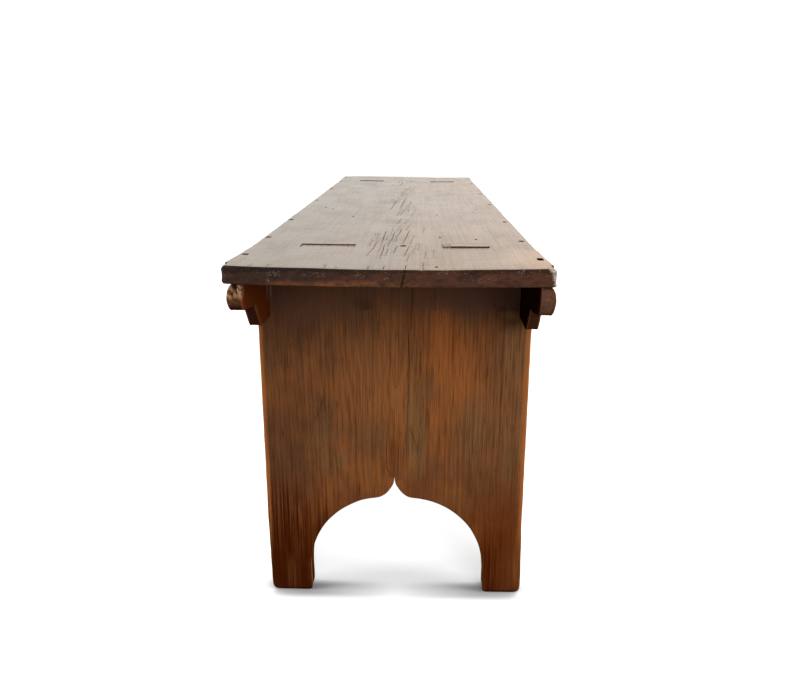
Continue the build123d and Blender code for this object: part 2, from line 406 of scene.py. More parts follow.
def stain(share, ground, colour, mode="MIX"):
    """Colour laid over a ground where share is 1."""
    shades = {6: ground, 7: colour}
    shades = {key: (*value, 1.0) if isinstance(value, tuple) else value for key, value in shades.items()}
    return add("Mix", {0: share, **shades}, data_type="RGBA", blend_type=mode).outputs[2]


def coats(ground, *layers):
    """Colours laid one over another. A layer is a share and a colour."""
    for share, colour in layers:
        ground = stain(share, ground, colour)
    return ground


def mark(label):
    """A value that the mesh carries at each point."""
    return add("Attribute", attribute_name=label).outputs["Fac"]


def where():
    """A point's place on the bench, whole and as its x, y and z."""
    place = add("TexCoord").outputs["Object"]
    return place, add("SeparateXYZ", {0: place}).outputs


def streaks(place, scale, shift, detail=4.0, rough=0.6):
    """Noise drawn out along the grain. scale is how many swells there are in a metre along x, y and z."""
    spot = add("Mapping", {"Vector": place, "Location": shift, "Scale": scale}).outputs[0]
    inputs = {"Vector": spot, "Scale": 1.0, "Detail": detail, "Roughness": rough}
    return add("TexNoise", inputs).outputs["Fac"]


def rings(place, pith, tilt, spacing, grain, shift):
    """Growth rings round a tilted pith line, warped along the grain: 0 in early wood, 1 in late wood."""
    swell = tuple(2.5 if i == grain else 14.0 for i in range(3))
    warp = add("Mapping", {"Vector": place, "Location": shift, "Scale": swell}).outputs[0]
    warp = add("TexNoise", {"Vector": warp, "Scale": 1.0, "Detail": 2.0}).outputs["Color"]
    warp = vector("MULTIPLY", vector("SUBTRACT", warp, (0.5, 0.5, 0.5)), (0.03, 0.03, 0.03))
    spot = vector("ADD", vector("SUBTRACT", place, pith), warp)
    spot = add("Mapping", {"Vector": spot, "Rotation": tilt}).outputs[0]
    inputs = {"Vector": spot, "Scale": 0.314 / spacing, "Distortion": 1.2, "Detail": 2.0, "Detail Scale": 0.4}
    wave = add("TexWave", inputs, wave_type="RINGS", rings_direction="XYZ"[grain], wave_profile="SAW")
    return calc("POWER", wave.outputs["Fac"], 2.0)


def smudge(place, middle, size, edge):
    """A soft mark round a place: 1 inside, 0 outside. edge is noise that makes its outline ragged."""
    away = vector("DIVIDE", vector("SUBTRACT", place, middle), size)
    away = add("VectorMath", {0: away}, operation="LENGTH").outputs["Value"]
    return span(shifted(away, edge, 2.2), 1.25, 0.3)


def new_finish(name):
    """A material with one plain shader. Its node tree is the one that add fills from here on."""
    global tree
    finish = bpy.data.materials.new(name)
    finish.use_nodes = True
    tree = finish.node_tree
    tree.nodes.clear()
    shader = add("BsdfPrincipled")
    tree.links.new(shader.outputs[0], add("OutputMaterial").inputs[0])
    return finish, shader


def close_finish(shader, colour, roughness, *bumps):
    """Leads a finish's colour, roughness and relief to its shader. A bump is a strength, depth and height."""
    tree.links.new(colour, shader.inputs["Base Color"])
    tree.links.new(roughness, shader.inputs["Roughness"])
    under = {}
    for strength, depth, height in bumps:
        inputs = {"Strength": strength, "Distance": depth, "Height": height, **under}
        under = {"Normal": add("Bump", inputs).outputs[0]}
    tree.links.new(under["Normal"], shader.inputs["Normal"])


def paint(board, finish, test):
    """Gives a second finish to the faces of a board whose middle and facing pass a test."""
    board.data.materials.append(finish)
    for face in board.data.polygons:
        if test(face.center, face.normal):
            face.material_index = len(board.data.materials) - 1


leg_stain, shader = new_finish("stained leg wood")
LEG_AMBER = (0.235, 0.080, 0.023)
LEG_BROWN = (0.150, 0.060, 0.024)
LEG_SAND = (0.300, 0.120, 0.042)
LEG_ORANGE = (0.310, 0.098, 0.025)
LEG_DARK = (0.032, 0.013, 0.006)
LEG_SMOKE = (0.060, 0.030, 0.016)
LEG_OLIVE = (0.170, 0.086, 0.036)
LEG_RED = (0.098, 0.021, 0.003)
LEG_FOOT = (0.033, 0.0048, 0.0008)
LEG_TOP_STAIN_AND_SHADE = (0.092, 0.042, 0.026)
LEG_BARE = (0.360, 0.145, 0.045)
LEG_SHADE_BLACK = (0.012, 0.006, 0.004)
LEG_SOLE = (0.016, 0.0025, 0.001)
LEG_GLINT = (0.220, 0.150, 0.130)
# The near-black mark at x 0.146, z 0.408, beside the right apron's inner face, is painted shade under the
# seat.
LEG_MARKS = [
    (LEG_ORANGE, (0.073, 0.310), (0.045, 0.085), 0.80), (LEG_AMBER, (-0.025, 0.275), (0.050, 0.070), 0.55),
    (LEG_OLIVE, (0.028, 0.235), (0.016, 0.070), 0.85), (LEG_OLIVE, (0.150, 0.330), (0.020, 0.055), 0.90),
    (LEG_OLIVE, (0.098, 0.230), (0.026, 0.050), 0.70), (LEG_SMOKE, (-0.130, 0.372), (0.055, 0.050), 0.75),
    (LEG_SMOKE, (-0.037, 0.386), (0.015, 0.006), 0.60), (LEG_SMOKE, (-0.080, 0.240), (0.012, 0.045), 0.35),
    (LEG_RED, (0.000, 0.195), (0.006, 0.035), 0.45), (LEG_SHADE_BLACK, (0.146, 0.408), (0.042, 0.042), 0.95),
    (LEG_DARK, (-0.135, 0.405), (0.030, 0.030), 0.40), (LEG_SAND, (0.162, 0.250), (0.014, 0.150), 0.70),
    (LEG_SAND, (-0.010, 0.300), (0.050, 0.080), 0.40), (LEG_SMOKE, (-0.140, 0.205), (0.058, 0.100), 0.55),
    (LEG_DARK, (-0.037, 0.390), (0.016, 0.010), 0.75), (LEG_DARK, (-0.031, 0.3835), (0.011, 0.0012), 0.80),
    (LEG_SAND, (0.1600, 0.244), (0.0018, 0.008), 0.90), (LEG_OLIVE, (0.140, 0.377), (0.013, 0.006), 0.60),
    (LEG_SAND, (0.138, 0.255), (0.028, 0.100), 0.30), (LEG_AMBER, (-0.058, 0.272), (0.030, 0.050), 0.50),
    (LEG_SMOKE, (-0.100, 0.225), (0.020, 0.030), 0.30),
]
# The two pale marks at x -0.1437 on the left notch's edge are painted highlights where the apron meets the
# leg.
LATE_MARKS = [
    (LEG_FOOT, (-0.138, 0.080), (0.060, 0.085), 0.92), (LEG_FOOT, (0.130, 0.030), (0.036, 0.060), 0.80),
    (LEG_BARE, (-0.130, 0.022), (0.010, 0.030), 0.16), (LEG_SOLE, (0.1150, 0.040), (0.0028, 0.045), 0.80),
    (LEG_BARE, (0.150, 0.030), (0.018, 0.045), 0.14), (LEG_BARE, (0.162, 0.050), (0.006, 0.060), 0.25),
    (LEG_GLINT, (-0.1437, 0.428), (0.0010, 0.008), 0.80), (LEG_GLINT, (-0.1437, 0.406), (0.0010, 0.012), 0.80),
]
_, parts = where()
far = span(parts[1], -0.1, 0.1)
depth = calc("ABSOLUTE", parts[1])
lift = plus(parts[2], times(far, 1.7))
place = add("CombineXYZ", {0: parts[0], 1: depth, 2: lift}).outputs[0]
fibre = streaks(place, (440, 440, 6), (3.1, 0.7, 1.9), detail=5.0, rough=0.7)
fine = streaks(place, (900, 900, 24), (8.4, 2.2, 5.0), detail=3.0)
vein = streaks(place, (210, 210, 3.5), (5.4, 0.2, 7.0), detail=5.0, rough=0.75)
band = streaks(place, (60, 60, 2.0), (1.3, 4.4, 0.6), detail=4.0, rough=0.65)
cloud = streaks(place, (18, 18, 10), (6.2, 1.1, 3.7), detail=5.0, rough=0.6)
smoke = streaks(place, (26, 26, 14), (2.9, 7.3, 8.8), detail=6.0, rough=0.65)
ring = rings(place, (0.005, 0.452, 0.2), (0.035, 0.012, 0.0), 0.0046, 2, (0.4, 0.2, 5.1))
colour = stain(span(cloud, 0.36, 0.64), LEG_BROWN, LEG_AMBER)
colour = stain(span(smoke, 0.53, 0.68, 0.0, 0.60), colour, LEG_OLIVE)
for tint, (x, z), (wide, tall), strength in LEG_MARKS:
    mask = smudge(place, (x, 0.5, z), (wide, 1.0, tall), smoke)
    colour = stain(times(mask, strength), colour, tint)
colour = coats(
    colour,
    (span(band, 0.50, 0.72, 0.0, 0.35), LEG_SMOKE),
    (times(ring, 0.26), LEG_DARK),
    (span(fibre, 0.50, 0.70, 0.0, 0.48), LEG_DARK),
    (span(fibre, 0.28, 0.47, 0.30, 0.0), LEG_AMBER),
    (span(vein, 0.50, 0.64, 0.0, 0.24), LEG_DARK),
)
colour = stain(span(vein, 0.34, 0.47, 0.22, 0.0), colour, LEG_BARE, "SOFT_LIGHT")
colour = stain(span(fine, 0.52, 0.66, 0.0, 0.55), colour, LEG_DARK)
low = shifted(parts[2], cloud, 0.16)
colour = stain(span(low, 0.19, 0.05, 0.0, 0.92), colour, LEG_RED)
leaning = plus(low, times(parts[0], 0.32))
colour = stain(span(leaning, 0.10, -0.02, 0.0, 0.85), colour, LEG_FOOT)
# Dark band along the leg's top under the seat: partly a darker stain, partly painted shade where the seat's
# overhang shades the leg. It reaches lower on the left, and rim deepens its ragged lower edge on the right.
high = shifted(parts[2], smoke, 0.09)
high = plus(high, span(parts[0], -0.02, -0.12, 0.0, 0.022))
colour = stain(span(high, 0.366, 0.402, 0.0, 0.70), colour, LEG_TOP_STAIN_AND_SHADE)
rim = shifted(parts[2], smoke, 0.05)
rim = times(span(rim, 0.375, 0.389, 0.0, 0.60), span(parts[0], 0.01, 0.05))
colour = stain(rim, colour, LEG_TOP_STAIN_AND_SHADE)
# A lighter orange strip along the leg's outer edges: partly wear, partly a painted highlight where side light
# catches the rounded edges.
off_middle = calc("ABSOLUTE", calc("SUBTRACT", parts[0], LEG_MIDDLE))
edge = shifted(off_middle, smoke, 0.008)
edge = times(span(edge, 0.1562, 0.1600, 0.0, 0.7), span(parts[2], 0.376, 0.368))
edge = times(edge, span(parts[2], 0.03, 0.12))
colour = stain(edge, colour, LEG_ORANGE)
for tint, (x, z), (wide, tall), strength in LATE_MARKS:
    mask = smudge(place, (x, 0.5, z), (wide, 1.0, tall), vein)
    mask = times(mask, span(fibre, 0.40, 0.56, 0.0, strength))
    colour = stain(mask, colour, tint)
colour = stain(times(mark("end_grain"), 0.6), colour, LEG_DARK)
rub = times(mark("rubbed"), span(smoke, 0.40, 0.62, 0.45, 0.95))
scuffed = smudge(place, (-0.1085, 0.5, 0.028), (0.006, 1.0, 0.024), vein)
bared = times(span(parts[2], 0.08, 0.16, 0.25, 1.0), span(off_middle, 0.125, 0.145, 0.3, 1.0))
# Besides wear on the edges and round the arch: a dark line along each foot's bottom edge is painted shade
# under its rounded arris, a dark band on the tenons where they meet the seat's top is painted shade in the
# gap, and cracks are filled with painted shade.
colour = coats(
    colour,
    (times(rub, calc("MAXIMUM", bared, scuffed)), LEG_BARE),
    (span(parts[2], 0.0045, 0.0015, 0.0, 0.85), LEG_SOLE),
    (span(parts[2], 0.4545, 0.4560, 0.0, 0.9), LEG_SHADE_BLACK),
    (mark("hollow_shade"), LEG_SHADE_BLACK),
)
shader.inputs["Specular IOR Level"].default_value = 0.0
height = plus(plus(times(fibre, 0.7), times(ring, -0.35)), times(fine, 0.3))
close_finish(shader, colour, span(fibre, 0.3, 0.7, 0.46, 0.66), (0.4, 0.0008, height))

tenon_wax, shader = new_finish("waxed tenon ends")
TENON_BROWN = (0.230, 0.130, 0.060)
TENON_DARK = (0.060, 0.030, 0.016)
place = add("TexCoord").outputs["Object"]
pores = streaks(place, (700, 700, 20), (2.2, 1.4, 0.3))
year = streaks(place, (160, 900, 20), (0.7, 5.2, 1.3), detail=2.0)
colour = coats(
    TENON_BROWN,
    (span(pores, 0.5, 0.7, 0.0, 0.7), TENON_DARK),
    (span(year, 0.5, 0.7, 0.0, 0.5), TENON_DARK),
    # The dark edge round each tenon's top is painted shade where the tenon meets its mortise.
    (mark("rubbed"), TENON_DARK),
)
close_finish(shader, colour, span(pores, 0.3, 0.7, 0.20, 0.27), (0.12, 0.0005, pores))

LEG_SPLITS = {
    "front_leg_board": [
        ((0.0230, 0.426), (0.0235, 0.360), 0.0007, 0.003),
        ((0.0200, 0.357), (0.0202, 0.299), 0.0010, 0.004),
        ((0.0095, 0.225), (0.0070, 0.170), 0.0007, 0.002),
        ((-0.0055, 0.236), (-0.0082, 0.186), 0.0007, 0.002),
        ((-0.0083, 0.183), (-0.0030, 0.167), 0.0008, 0.002),
        ((0.0225, 0.231), (0.0293, 0.207), 0.0010, 0.002),
        ((-0.0427, 0.153), (-0.0429, 0.140), 0.0010, 0.003),
        ((-0.0866, 0.268), (-0.0866, 0.258), 0.0014, 0.001),
        ((-0.0681, 0.266), (-0.0681, 0.259), 0.0013, 0.001),
        ((-0.0920, 0.253), (-0.0925, 0.245), 0.0012, 0.001),
        ((-0.1365, 0.226), (-0.1365, 0.219), 0.0012, 0.001),
        ((0.0500, 0.418), (0.0508, 0.385), 0.0005, 0.002),
    ],
    "rear_leg_board": [
        ((-0.031, 0.415), (-0.027, 0.330), 0.0010, 0.004),
        ((0.006, 0.300), (0.004, 0.176), 0.0008, 0.003),
        ((0.052, 0.395), (0.055, 0.331), 0.0008, 0.002),
    ],
}
for name, facing in LEG_BOARDS.items():
    outline = draw_even(face_loops(name, 1, facing > 0)[0], LEG_POINT_GAP)
    above = outline[:, 1] > seat_low.z
    worn = seat_wear(outline[:, 0], facing * LEG_LINE) * (outline[:, 1] - seat_low.z)
    outline[:, 1] -= np.where(above, worn / (seat_high.z - seat_low.z), 0)
    low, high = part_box(name)
    levels = sorted(abs(y) for y in (low.y, high.y))
    from_middle = outline[:, 0] - (low.x + high.x) / 2
    arch = (np.abs(from_middle) < ARCH_HALF) & (outline[:, 1] > 0.001) & (outline[:, 1] < 0.2)
    tip = outline[arch][np.argmax(outline[arch][:, 1])]
    slot = np.clip((tip[1] - outline[:, 1]) / CUSP_POINT, 0.12, 1)
    by_slot = arch & (np.abs(outline[:, 0] - tip[0]) < CUSP_HALF)
    outline[:, 0] = np.where(by_slot, tip[0] + (outline[:, 0] - tip[0]) * slot, outline[:, 0])
    by_tip = np.clip(np.linalg.norm(outline - tip, axis=1) / 0.03, 0, 1)
    outline[:, 1] -= np.where(arch, ARCH_WORN * by_tip * ramp(outline[:, 1], 0.02, 0.03), 0)
    outline[:, 0] -= np.where(arch, JAMB_WORN * np.clip(from_middle / 0.06, -1, 1) * ~by_slot, 0)
    splay = RIGHT_JAMB_SPLAY * (from_middle > 0) * ramp(JAMB_SPLAY_BELOW, outline[:, 1], 0.03)
    outline[:, 0] += np.where(arch, splay, FOOT_LEAN * ramp(FOOT_LEAN_BELOW, outline[:, 1], 0.075))
    corner = np.where(from_middle < 0, LEFT_CORNER, RIGHT_CORNER)
    corner = np.where(np.abs(from_middle) > ARCH_HALF, OUTER_CORNER, corner)[:, None]
    for _ in range(FOOT_ROUND_PASSES):
        eased = (np.roll(outline, 1, axis=0) + np.roll(outline, -1, axis=0)) / 2
        outline = np.where(outline[:, 1:] < FOOT_ROUND_BELOW, outline + corner * (eased - outline), outline)
    nibble = EDGE_NIBBLE * wander(outline, 0.018, 2 + facing) * np.clip(outline[:, 1] / 0.01, 0, 1)
    outline = outline + into_wood(outline, False) * np.where(by_slot, 0, nibble)[:, None]

    def leg_arris(loop, upper):
        foot = np.clip(1 - loop[:, 1] / 0.02, 0, 1)
        eased = LEG_ARRIS + (LEG_FOOT_ARRIS - LEG_ARRIS) * foot
        eased = eased * (1 + 0.45 * wander(loop, 0.025, 5 + upper))
        eased = eased * np.clip(np.linalg.norm(loop - tip, axis=1) / 0.025, 0.15, 1)
        side = np.abs(loop[:, 0] - (low.x + high.x) / 2) > ARCH_HALF + 0.012
        upright = np.clip(np.minimum(loop[:, 1] - 0.03, 0.372 - loop[:, 1]) / 0.02, 0, 1)
        eased = eased + LEG_SIDE_WORN * side * upright
        return np.where(loop[:, 1] > seat_low.z + 0.001, TENON_ARRIS, eased)

    def leg_relief(points, upper):
        return uneven(LEG_FACE_WAVE, points * [1, 0.3], 0.03, 9 + upper)

    def leg_side(loop, share):
        return uneven(WALL_WAVE, loop + share * 0.01, 0.006, 11)

    cuts = [drying_split(*line, seed=i) for i, line in enumerate(LEG_SPLITS[name])]
    board = carve_board(name + "_wood", [outline], lambda u, v, w: (u, facing * w, v), levels, LEG_GRID,
                        leg_arris, (0, 0, 1), leg_relief, cuts, LEG_WALL_ROWS, leg_side)
    board.data.materials.append(leg_stain)
    paint(board, tenon_wax, lambda middle, normal: middle.z > seat_low.z + 0.012 and normal.z > 0.3)
    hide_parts(name)
    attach(board, "root")


# Aprons: two narrow boards on edge under the seat's long sides, let into the legs' notches and nailed.
# Each end is sawn to a round nose, a step and a raked cut; the left nose has been chewed at its end.
APRONS = {"left_apron": -1, "right_apron": 1}
APRON_POINT_GAP = 0.0018
APRON_GRID = (0.010, 0.006)
APRON_WALL_ROWS = 13
APRON_ARRIS = 0.0016
CHEWED_FROM = -0.641
CHEWED_ABOVE = 0.425
CHEW_DEPTH = 0.0012
CHEW_BITES = [(0.37, 0.4287, 0.0022, 0.0045), (0.62, 0.4365, 0.0035, 0.0040), (0.88, 0.4340, 0.0038, 0.0055),
              (0.50, 0.4325, 0.0020, 0.0030), (1.00, 0.4290, 0.0030, 0.0030), (0.22, 0.4370, 0.0020, 0.0020)]
RIGHT_NOSE_DROP = 0.0040
RIGHT_RAKE_DROP = 0.0026
NOSE_SWELL = {-1: 0.0014, 1: 0.0020}
NOSE_ROUND = 0.0030
NOSE_FROM = 0.57
NOSE_FACE_FROM = -0.628
NOSE_MIDDLE = 0.424
NOSE_TIP_FROM = -0.635
NOSE_TIP_ABOVE = 0.415
CHEW_RAGGED = 0.004
RAKE_TIP_FROM = -0.516
RAKE_TALL = 0.015
APRON_FACE_WAVE = 0.0002
APRON_NAIL_ROOM = 0.0005
APRON_NAIL_POCKET = 0.0016
apron_stain, shader = new_finish("stained apron wood")
APRON_BROWN = (0.120, 0.046, 0.020)
APRON_RED = (0.100, 0.029, 0.010)
APRON_INNER_LIT = (0.170, 0.034, 0.006)
APRON_DARK = (0.026, 0.009, 0.005)
APRON_SHADE_BLACK = (0.012, 0.0025, 0.0016)
APRON_NOSE = (0.085, 0.036, 0.016)
APRON_GREY = (0.112, 0.053, 0.034)
APRON_RAKE = (0.038, 0.0095, 0.0055)
APRON_RAKE_LIT_RIGHT = (0.058, 0.0190, 0.0070)
APRON_SOLE = (0.035, 0.004, 0.002)
APRON_RUST = (0.125, 0.045, 0.006)
APRON_BARE = (0.290, 0.150, 0.075)
APRON_CHEWED = (0.370, 0.200, 0.104)
_, parts = where()
right = span(parts[0], -0.05, 0.05)
place = add("CombineXYZ", {0: calc("ABSOLUTE", parts[0]), 2: parts[2],
                           1: plus(parts[1], times(right, 2.3))}).outputs[0]
fibre = streaks(place, (420, 9, 420), (1.1, 2.7, 5.9))
fine = streaks(place, (1500, 45, 1500), (2.4, 5.2, 1.0), detail=2.0)
cloud = streaks(place, (14, 5, 14), (4.2, 3.1, 0.7))
pitted = streaks(place, (260, 260, 260), (0.2, 6.1, 2.7), detail=3.0)
ring = rings(place, (0.10, 0.0, 0.36), (0.02, 0.0, 0.03), 0.0045, 1, (3.4, 0.2, 1.1))
colour = coats(
    APRON_BROWN,
    (span(cloud, 0.38, 0.62), APRON_RED),
    (times(ring, 0.45), APRON_DARK),
    (span(fibre, 0.52, 0.72, 0.0, 0.55), APRON_DARK),
    (span(fine, 0.60, 0.72, 0.0, 0.5), APRON_DARK),
)
rub = times(mark("rubbed"), span(cloud, 0.35, 0.7, 0.05, 0.45))
colour = stain(rub, colour, APRON_BARE)
length = calc("ABSOLUTE", parts[1])
# The sawn ends are dark, dirty end grain; the right apron's is painted lighter as painted light falling from
# the right.
cut_end = times(mark("wall"), span(length, 0.545, 0.556))
colour = stain(times(cut_end, 0.92), colour, stain(right, APRON_RAKE, APRON_RAKE_LIT_RIGHT))
nose = times(cut_end, span(length, 0.592, 0.602))
colour = stain(times(nose, 0.9), colour, stain(right, APRON_NOSE, APRON_GREY))
# Pale specks on both noses: partly worn bare wood, partly painted highlights.
colour = coats(
    colour,
    (times(nose, span(pitted, 0.54, 0.70, 0.0, 0.4)), APRON_BARE),
    (times(nose, span(pitted, 0.48, 0.34, 0.0, 0.4)), APRON_DARK),
)
# Inner faces under the seat: the right apron's is painted shade, near black, and the left apron's is painted
# light, a lit red, as if light fell on it from the right.
inner = mark("inner")
on_left = times(inner, calc("SUBTRACT", 1.0, right))
colour = coats(
    colour,
    (times(inner, right, 0.96), APRON_SHADE_BLACK),
    (times(on_left, 0.8), APRON_INNER_LIT),
)
# Pale marks on the left apron's inner face where it meets the leg are painted highlights.
for y, z, tall in ((-0.522, 0.432, 0.007), (-0.521, 0.407, 0.011)):
    lip = smudge(place, (0.1457, y, z), (0.02, 0.005, tall), pitted)
    colour = stain(times(lip, on_left, 0.7), colour, LEG_GLINT)
chewed = mark("chewed")
colour = coats(
    colour,
    (chewed, APRON_CHEWED),
    (times(chewed, span(pitted, 0.44, 0.54, 0.0, 0.9)), APRON_NOSE),
)
# The nose's top under the seat, and a patch by the left nose's inner side, are darkened with painted shade.
shadow = smudge(place, (0.1490, -0.65, 0.4375), (0.0055, 0.03, 0.0050), pitted)
shaded_top = shifted(parts[2], pitted, 0.012)
shaded_top = calc("MAXIMUM", span(shaded_top, 0.4350, 0.4380), shadow)
colour = stain(times(nose, shaded_top, 0.88), colour, APRON_DARK)
sole = plus(parts[2], times(right, 0.0045))
sole = times(nose, span(sole, 0.4190, 0.4150, 0.0, 0.85))
colour = stain(sole, colour, stain(right, APRON_SOLE, APRON_RUST))
# Gnawed pits and nail holes are filled with painted shade.
colour = coats(
    colour,
    (mark("bite_shade"), APRON_SHADE_BLACK),
    (mark("hollow_shade"), LEG_SHADE_BLACK),
)
shader.inputs["Specular IOR Level"].default_value = 0.0
height = plus(plus(times(fibre, 0.7), times(ring, -0.35)), times(fine, 0.3))
close_finish(shader, colour, span(fibre, 0.3, 0.7, 0.46, 0.66), (0.35, 0.0008, height))


def nail_places(node):
    """Lowest and highest corner of each nail in a CAD node of nails."""
    work = bmesh.new()
    work.from_mesh(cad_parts[node].data)
    bmesh.ops.remove_doubles(work, verts=work.verts, dist=1e-5)
    left, found = set(work.verts), []
    for vert in work.verts:
        if vert in left:
            group, edge = [], [vert]
            left.discard(vert)
            while edge:
                group.append(edge.pop())
                near = [e.other_vert(group[-1]) for e in group[-1].link_edges]
                near = [other for other in near if other in left]
                left.difference_update(near)
                edge += near
            corners = np.array([v.co for v in group])
            found.append((corners.min(axis=0), corners.max(axis=0)))
    work.free()
    return sorted(found, key=lambda box: tuple(box[0]))


for name, facing in APRONS.items():
    outline = draw_even(face_loops(name, 0, facing < 0)[0], APRON_POINT_GAP)
    low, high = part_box(name)
    levels = sorted(abs(x) for x in (low.x, high.x))
    nose = ramp(np.abs(outline[:, 0]), NOSE_FROM, 0.03) * (high.z - outline[:, 1]) / (high.z - low.z)
    outline[:, 1] -= (facing > 0) * RIGHT_NOSE_DROP * 2 * nose * (outline[:, 1] > low.z + RAKE_TALL)
    tip = ramp(RAKE_TIP_FROM, outline[:, 0], 0.042) * (outline[:, 1] < low.z + RAKE_TALL)
    outline[:, 1] -= (facing > 0) * RIGHT_RAKE_DROP * tip
    outline[:, 1] += seat_cup(facing * levels[0], outline[:, 0]) * ramp(outline[:, 1], 0.41, 0.02)
    nibble = uneven(EDGE_NIBBLE, outline, 0.02, 3 + facing)
    outline = outline + into_wood(outline, False) * nibble[:, None]

    def chew(u, v):
        """How much of the end has been gnawed away at a place on the left apron."""
        return (facing < 0) * ramp(CHEWED_FROM, u, 0.006) * ramp(v, CHEWED_ABOVE, 0.005)

    def apron_arris(loop, upper):
        gnawed = chew(*loop.T) * (0.0008 if upper else 0.0026)
        return APRON_ARRIS * (1 + 0.5 * wander(loop, 0.02, 4 + upper)) + gnawed

    def apron_relief(points, upper):
        end = ramp(NOSE_FACE_FROM, points[:, 0], 0.015) * upper
        swell = NOSE_SWELL[facing] * np.clip(1 - np.abs(points[:, 1] - NOSE_MIDDLE) / 0.016, 0, 1)
        rounded = NOSE_ROUND * ramp(points[:, 1], 0.430, 0.009) ** 2
        return uneven(APRON_FACE_WAVE, points * [0.3, 1], 0.03, 6 + upper) + end * (rounded - swell)

    def apron_side(loop, share):
        gnawed = uneven(CHEW_DEPTH, loop + [0, share * 0.04], 0.0035, 8)
        for across, height, size, depth in CHEW_BITES:
            away = np.hypot((share - across) * (levels[1] - levels[0]), loop[:, 1] - height) / size
            gnawed = np.maximum(gnawed, depth * np.clip(1.15 - away**2, 0, 1))
        return uneven(WALL_WAVE, loop + share * 0.01, 0.006, 7) + gnawed * chew(*loop.T)

    cuts = []
    for i, (start, end) in enumerate(nail_places(name + "_nails")):
        middle, half = (start[1:] + end[1:]) / 2, (end[1:] - start[1:]) / 2 + APRON_NAIL_ROOM
        cuts.append(pocket(middle, half, APRON_NAIL_POCKET, 0.8, i))
    board = carve_board(name + "_wood", [outline], lambda u, v, w: (facing * w, u, v), levels, APRON_GRID,
                        apron_arris, (0, 1, 0), apron_relief, cuts, APRON_WALL_ROWS, apron_side)
    spots = np.array([vert.co for vert in board.data.vertices])
    facings = np.array([vert.normal for vert in board.data.vertices])
    ragged = CHEW_RAGGED * wander(spots[:, :2] * [1, 0] + spots[:, [1, 2]], 0.004, 12)
    gnawed = np.clip(chew(spots[:, 1] - CHEW_RAGGED + ragged, spots[:, 2] + ragged), 0, 1)
    end_line = outline[(outline[:, 0] < NOSE_TIP_FROM) & (outline[:, 1] > NOSE_TIP_ABOVE)]
    end_line = end_line[np.argsort(end_line[:, 1])]
    sunk = spots[:, 1] - np.interp(spots[:, 2], end_line[:, 1], end_line[:, 0])
    # Deeper gnawed pits on the left nose get painted shade, the deeper the darker.
    bite_shade = np.clip((sunk - 0.0020) / 0.0016, 0, 0.9) * (np.abs(facings[:, 0]) < 0.8) * gnawed
    inner = np.clip(-facing * facings[:, 0] * 3.2 - 0.4, 0, 1)
    for label, values in (("chewed", gnawed), ("bite_shade", bite_shade), ("inner", inner)):
        note(board.data, label, values)
    board.data.materials.append(apron_stain)
    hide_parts(name)
    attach(board, "root")


# Seat: one wide plank, its grain along the bench, dished by long use, waxed, with drying cracks along
# its middle and splits at its ends. Four mortises take the legs' tenons, and nails hold its long edges.
SEAT_POINT_GAP = 0.003
MORTISE_POINT_GAP = 0.003
MORTISE_POINTS_MOST = 200
SEAT_GRID = (0.0045, 0.007)
SEAT_WALL_ROWS = 6
SEAT_ARRIS = 0.0017
SEAT_END_ARRIS = 0.0009
SEAT_UNDER_ARRIS = 0.0024
MORTISE_ARRIS = 0.0004
SPLIT_ARRIS = 0.0002
SPLIT_HALF = 0.0012
SEAT_NIBBLE = 0.0004
SEAT_END_NIBBLE = 0.0006
SEAT_SIDE_ROUGH = 0.0003
SEAT_END_ROUGH = 0.0005
SEAT_UNDER_WAVE = 0.0002
SEAT_SWELL = 0.00028
SEAT_RIPPLE = 0.0001
SEAT_CORNERS = (0.009, 0.005, 0.006, 0.003)
WORN_CORNER = 0.0038
SEAT_END_SPLITS = ((0.0176, 0.0005, 0.0025),)
BACK_END_SPLITS = ((-0.004, 0.0007, 0.009),)
SPLIT_REACH = 0.03
SEAT_TAPER = 0.0026
SEAT_FLARE = {-1: 0.0012, 1: 0.0034}
SPLIT_LEAN = 0.005
CHECK_SWAY = 0.0018
CHECKS = 64
CHECK_DEPTH = 0.004
FINE_CHECK_DEPTH = 0.0022
END_CHECK_RUN = (0.001, 0.025)
END_CHECK_WIDTH = 0.0007
END_CHECK_DEPTH = 0.003
CHECKS_APART = 0.0030
NICK_WIDTH = 0.0008
NICK_DEPTH = 0.002
SEAT_NAIL_ROOM = 0.0008
SEAT_NAIL_POCKET = 0.0045
LOST_NAIL_HALF = (0.0034, 0.0072)
LOST_NAIL_DEPTH = 0.012
DENT_HALF = (0.0016, 0.0030)
DENT_DEPTH = 0.0022
SEAT_EDGE_NICKS = (-0.137, -0.120, -0.064, -0.052, -0.020, -0.004, 0.0352, 0.049)
SEAT_CHECKS = [
    ((-0.028, 0.082), (-0.021, 0.192)), ((-0.013, 0.068), (-0.0115, 0.162)),
    ((-0.0165, 0.172), (-0.0146, 0.278)), ((-0.0076, 0.147), (-0.0025, 0.273)),
    ((0.0007, 0.227), (0.0055, 0.303)), ((0.0093, 0.163), (0.016, 0.283)),
    ((0.0040, 0.150), (0.0002, 0.104)), ((0.0128, 0.082), (0.017, 0.147)),
    ((-0.009, 0.085), (-0.007, 0.132)), ((0.033, 0.043), (0.0324, 0.010)),
    ((-0.019, 0.537), (-0.009, 0.736)), ((-0.003, 0.552), (0.005, 0.751)),
    ((0.0003, 0.460), (0.0058, 0.545)), ((0.0103, 0.501), (0.0123, 0.538)),
    ((-0.0026, 0.350), (0.0025, 0.415)), ((0.000, 0.878), (0.0116, 0.980)),
    ((-0.0135, 1.007), (-0.009, 1.125)), ((-0.0045, 0.770), (-0.001, 0.850)),
]
SEAT_DENTS = [(-0.096, 0.841), (0.067, 0.783), (-0.072, 0.432), (0.057, 0.461), (0.046, 0.018),
              (0.055, 0.220), (0.099, 0.202), (-0.128, 0.559), (-0.115, 0.542), (0.123, 0.537),
              (0.106, 0.764)]
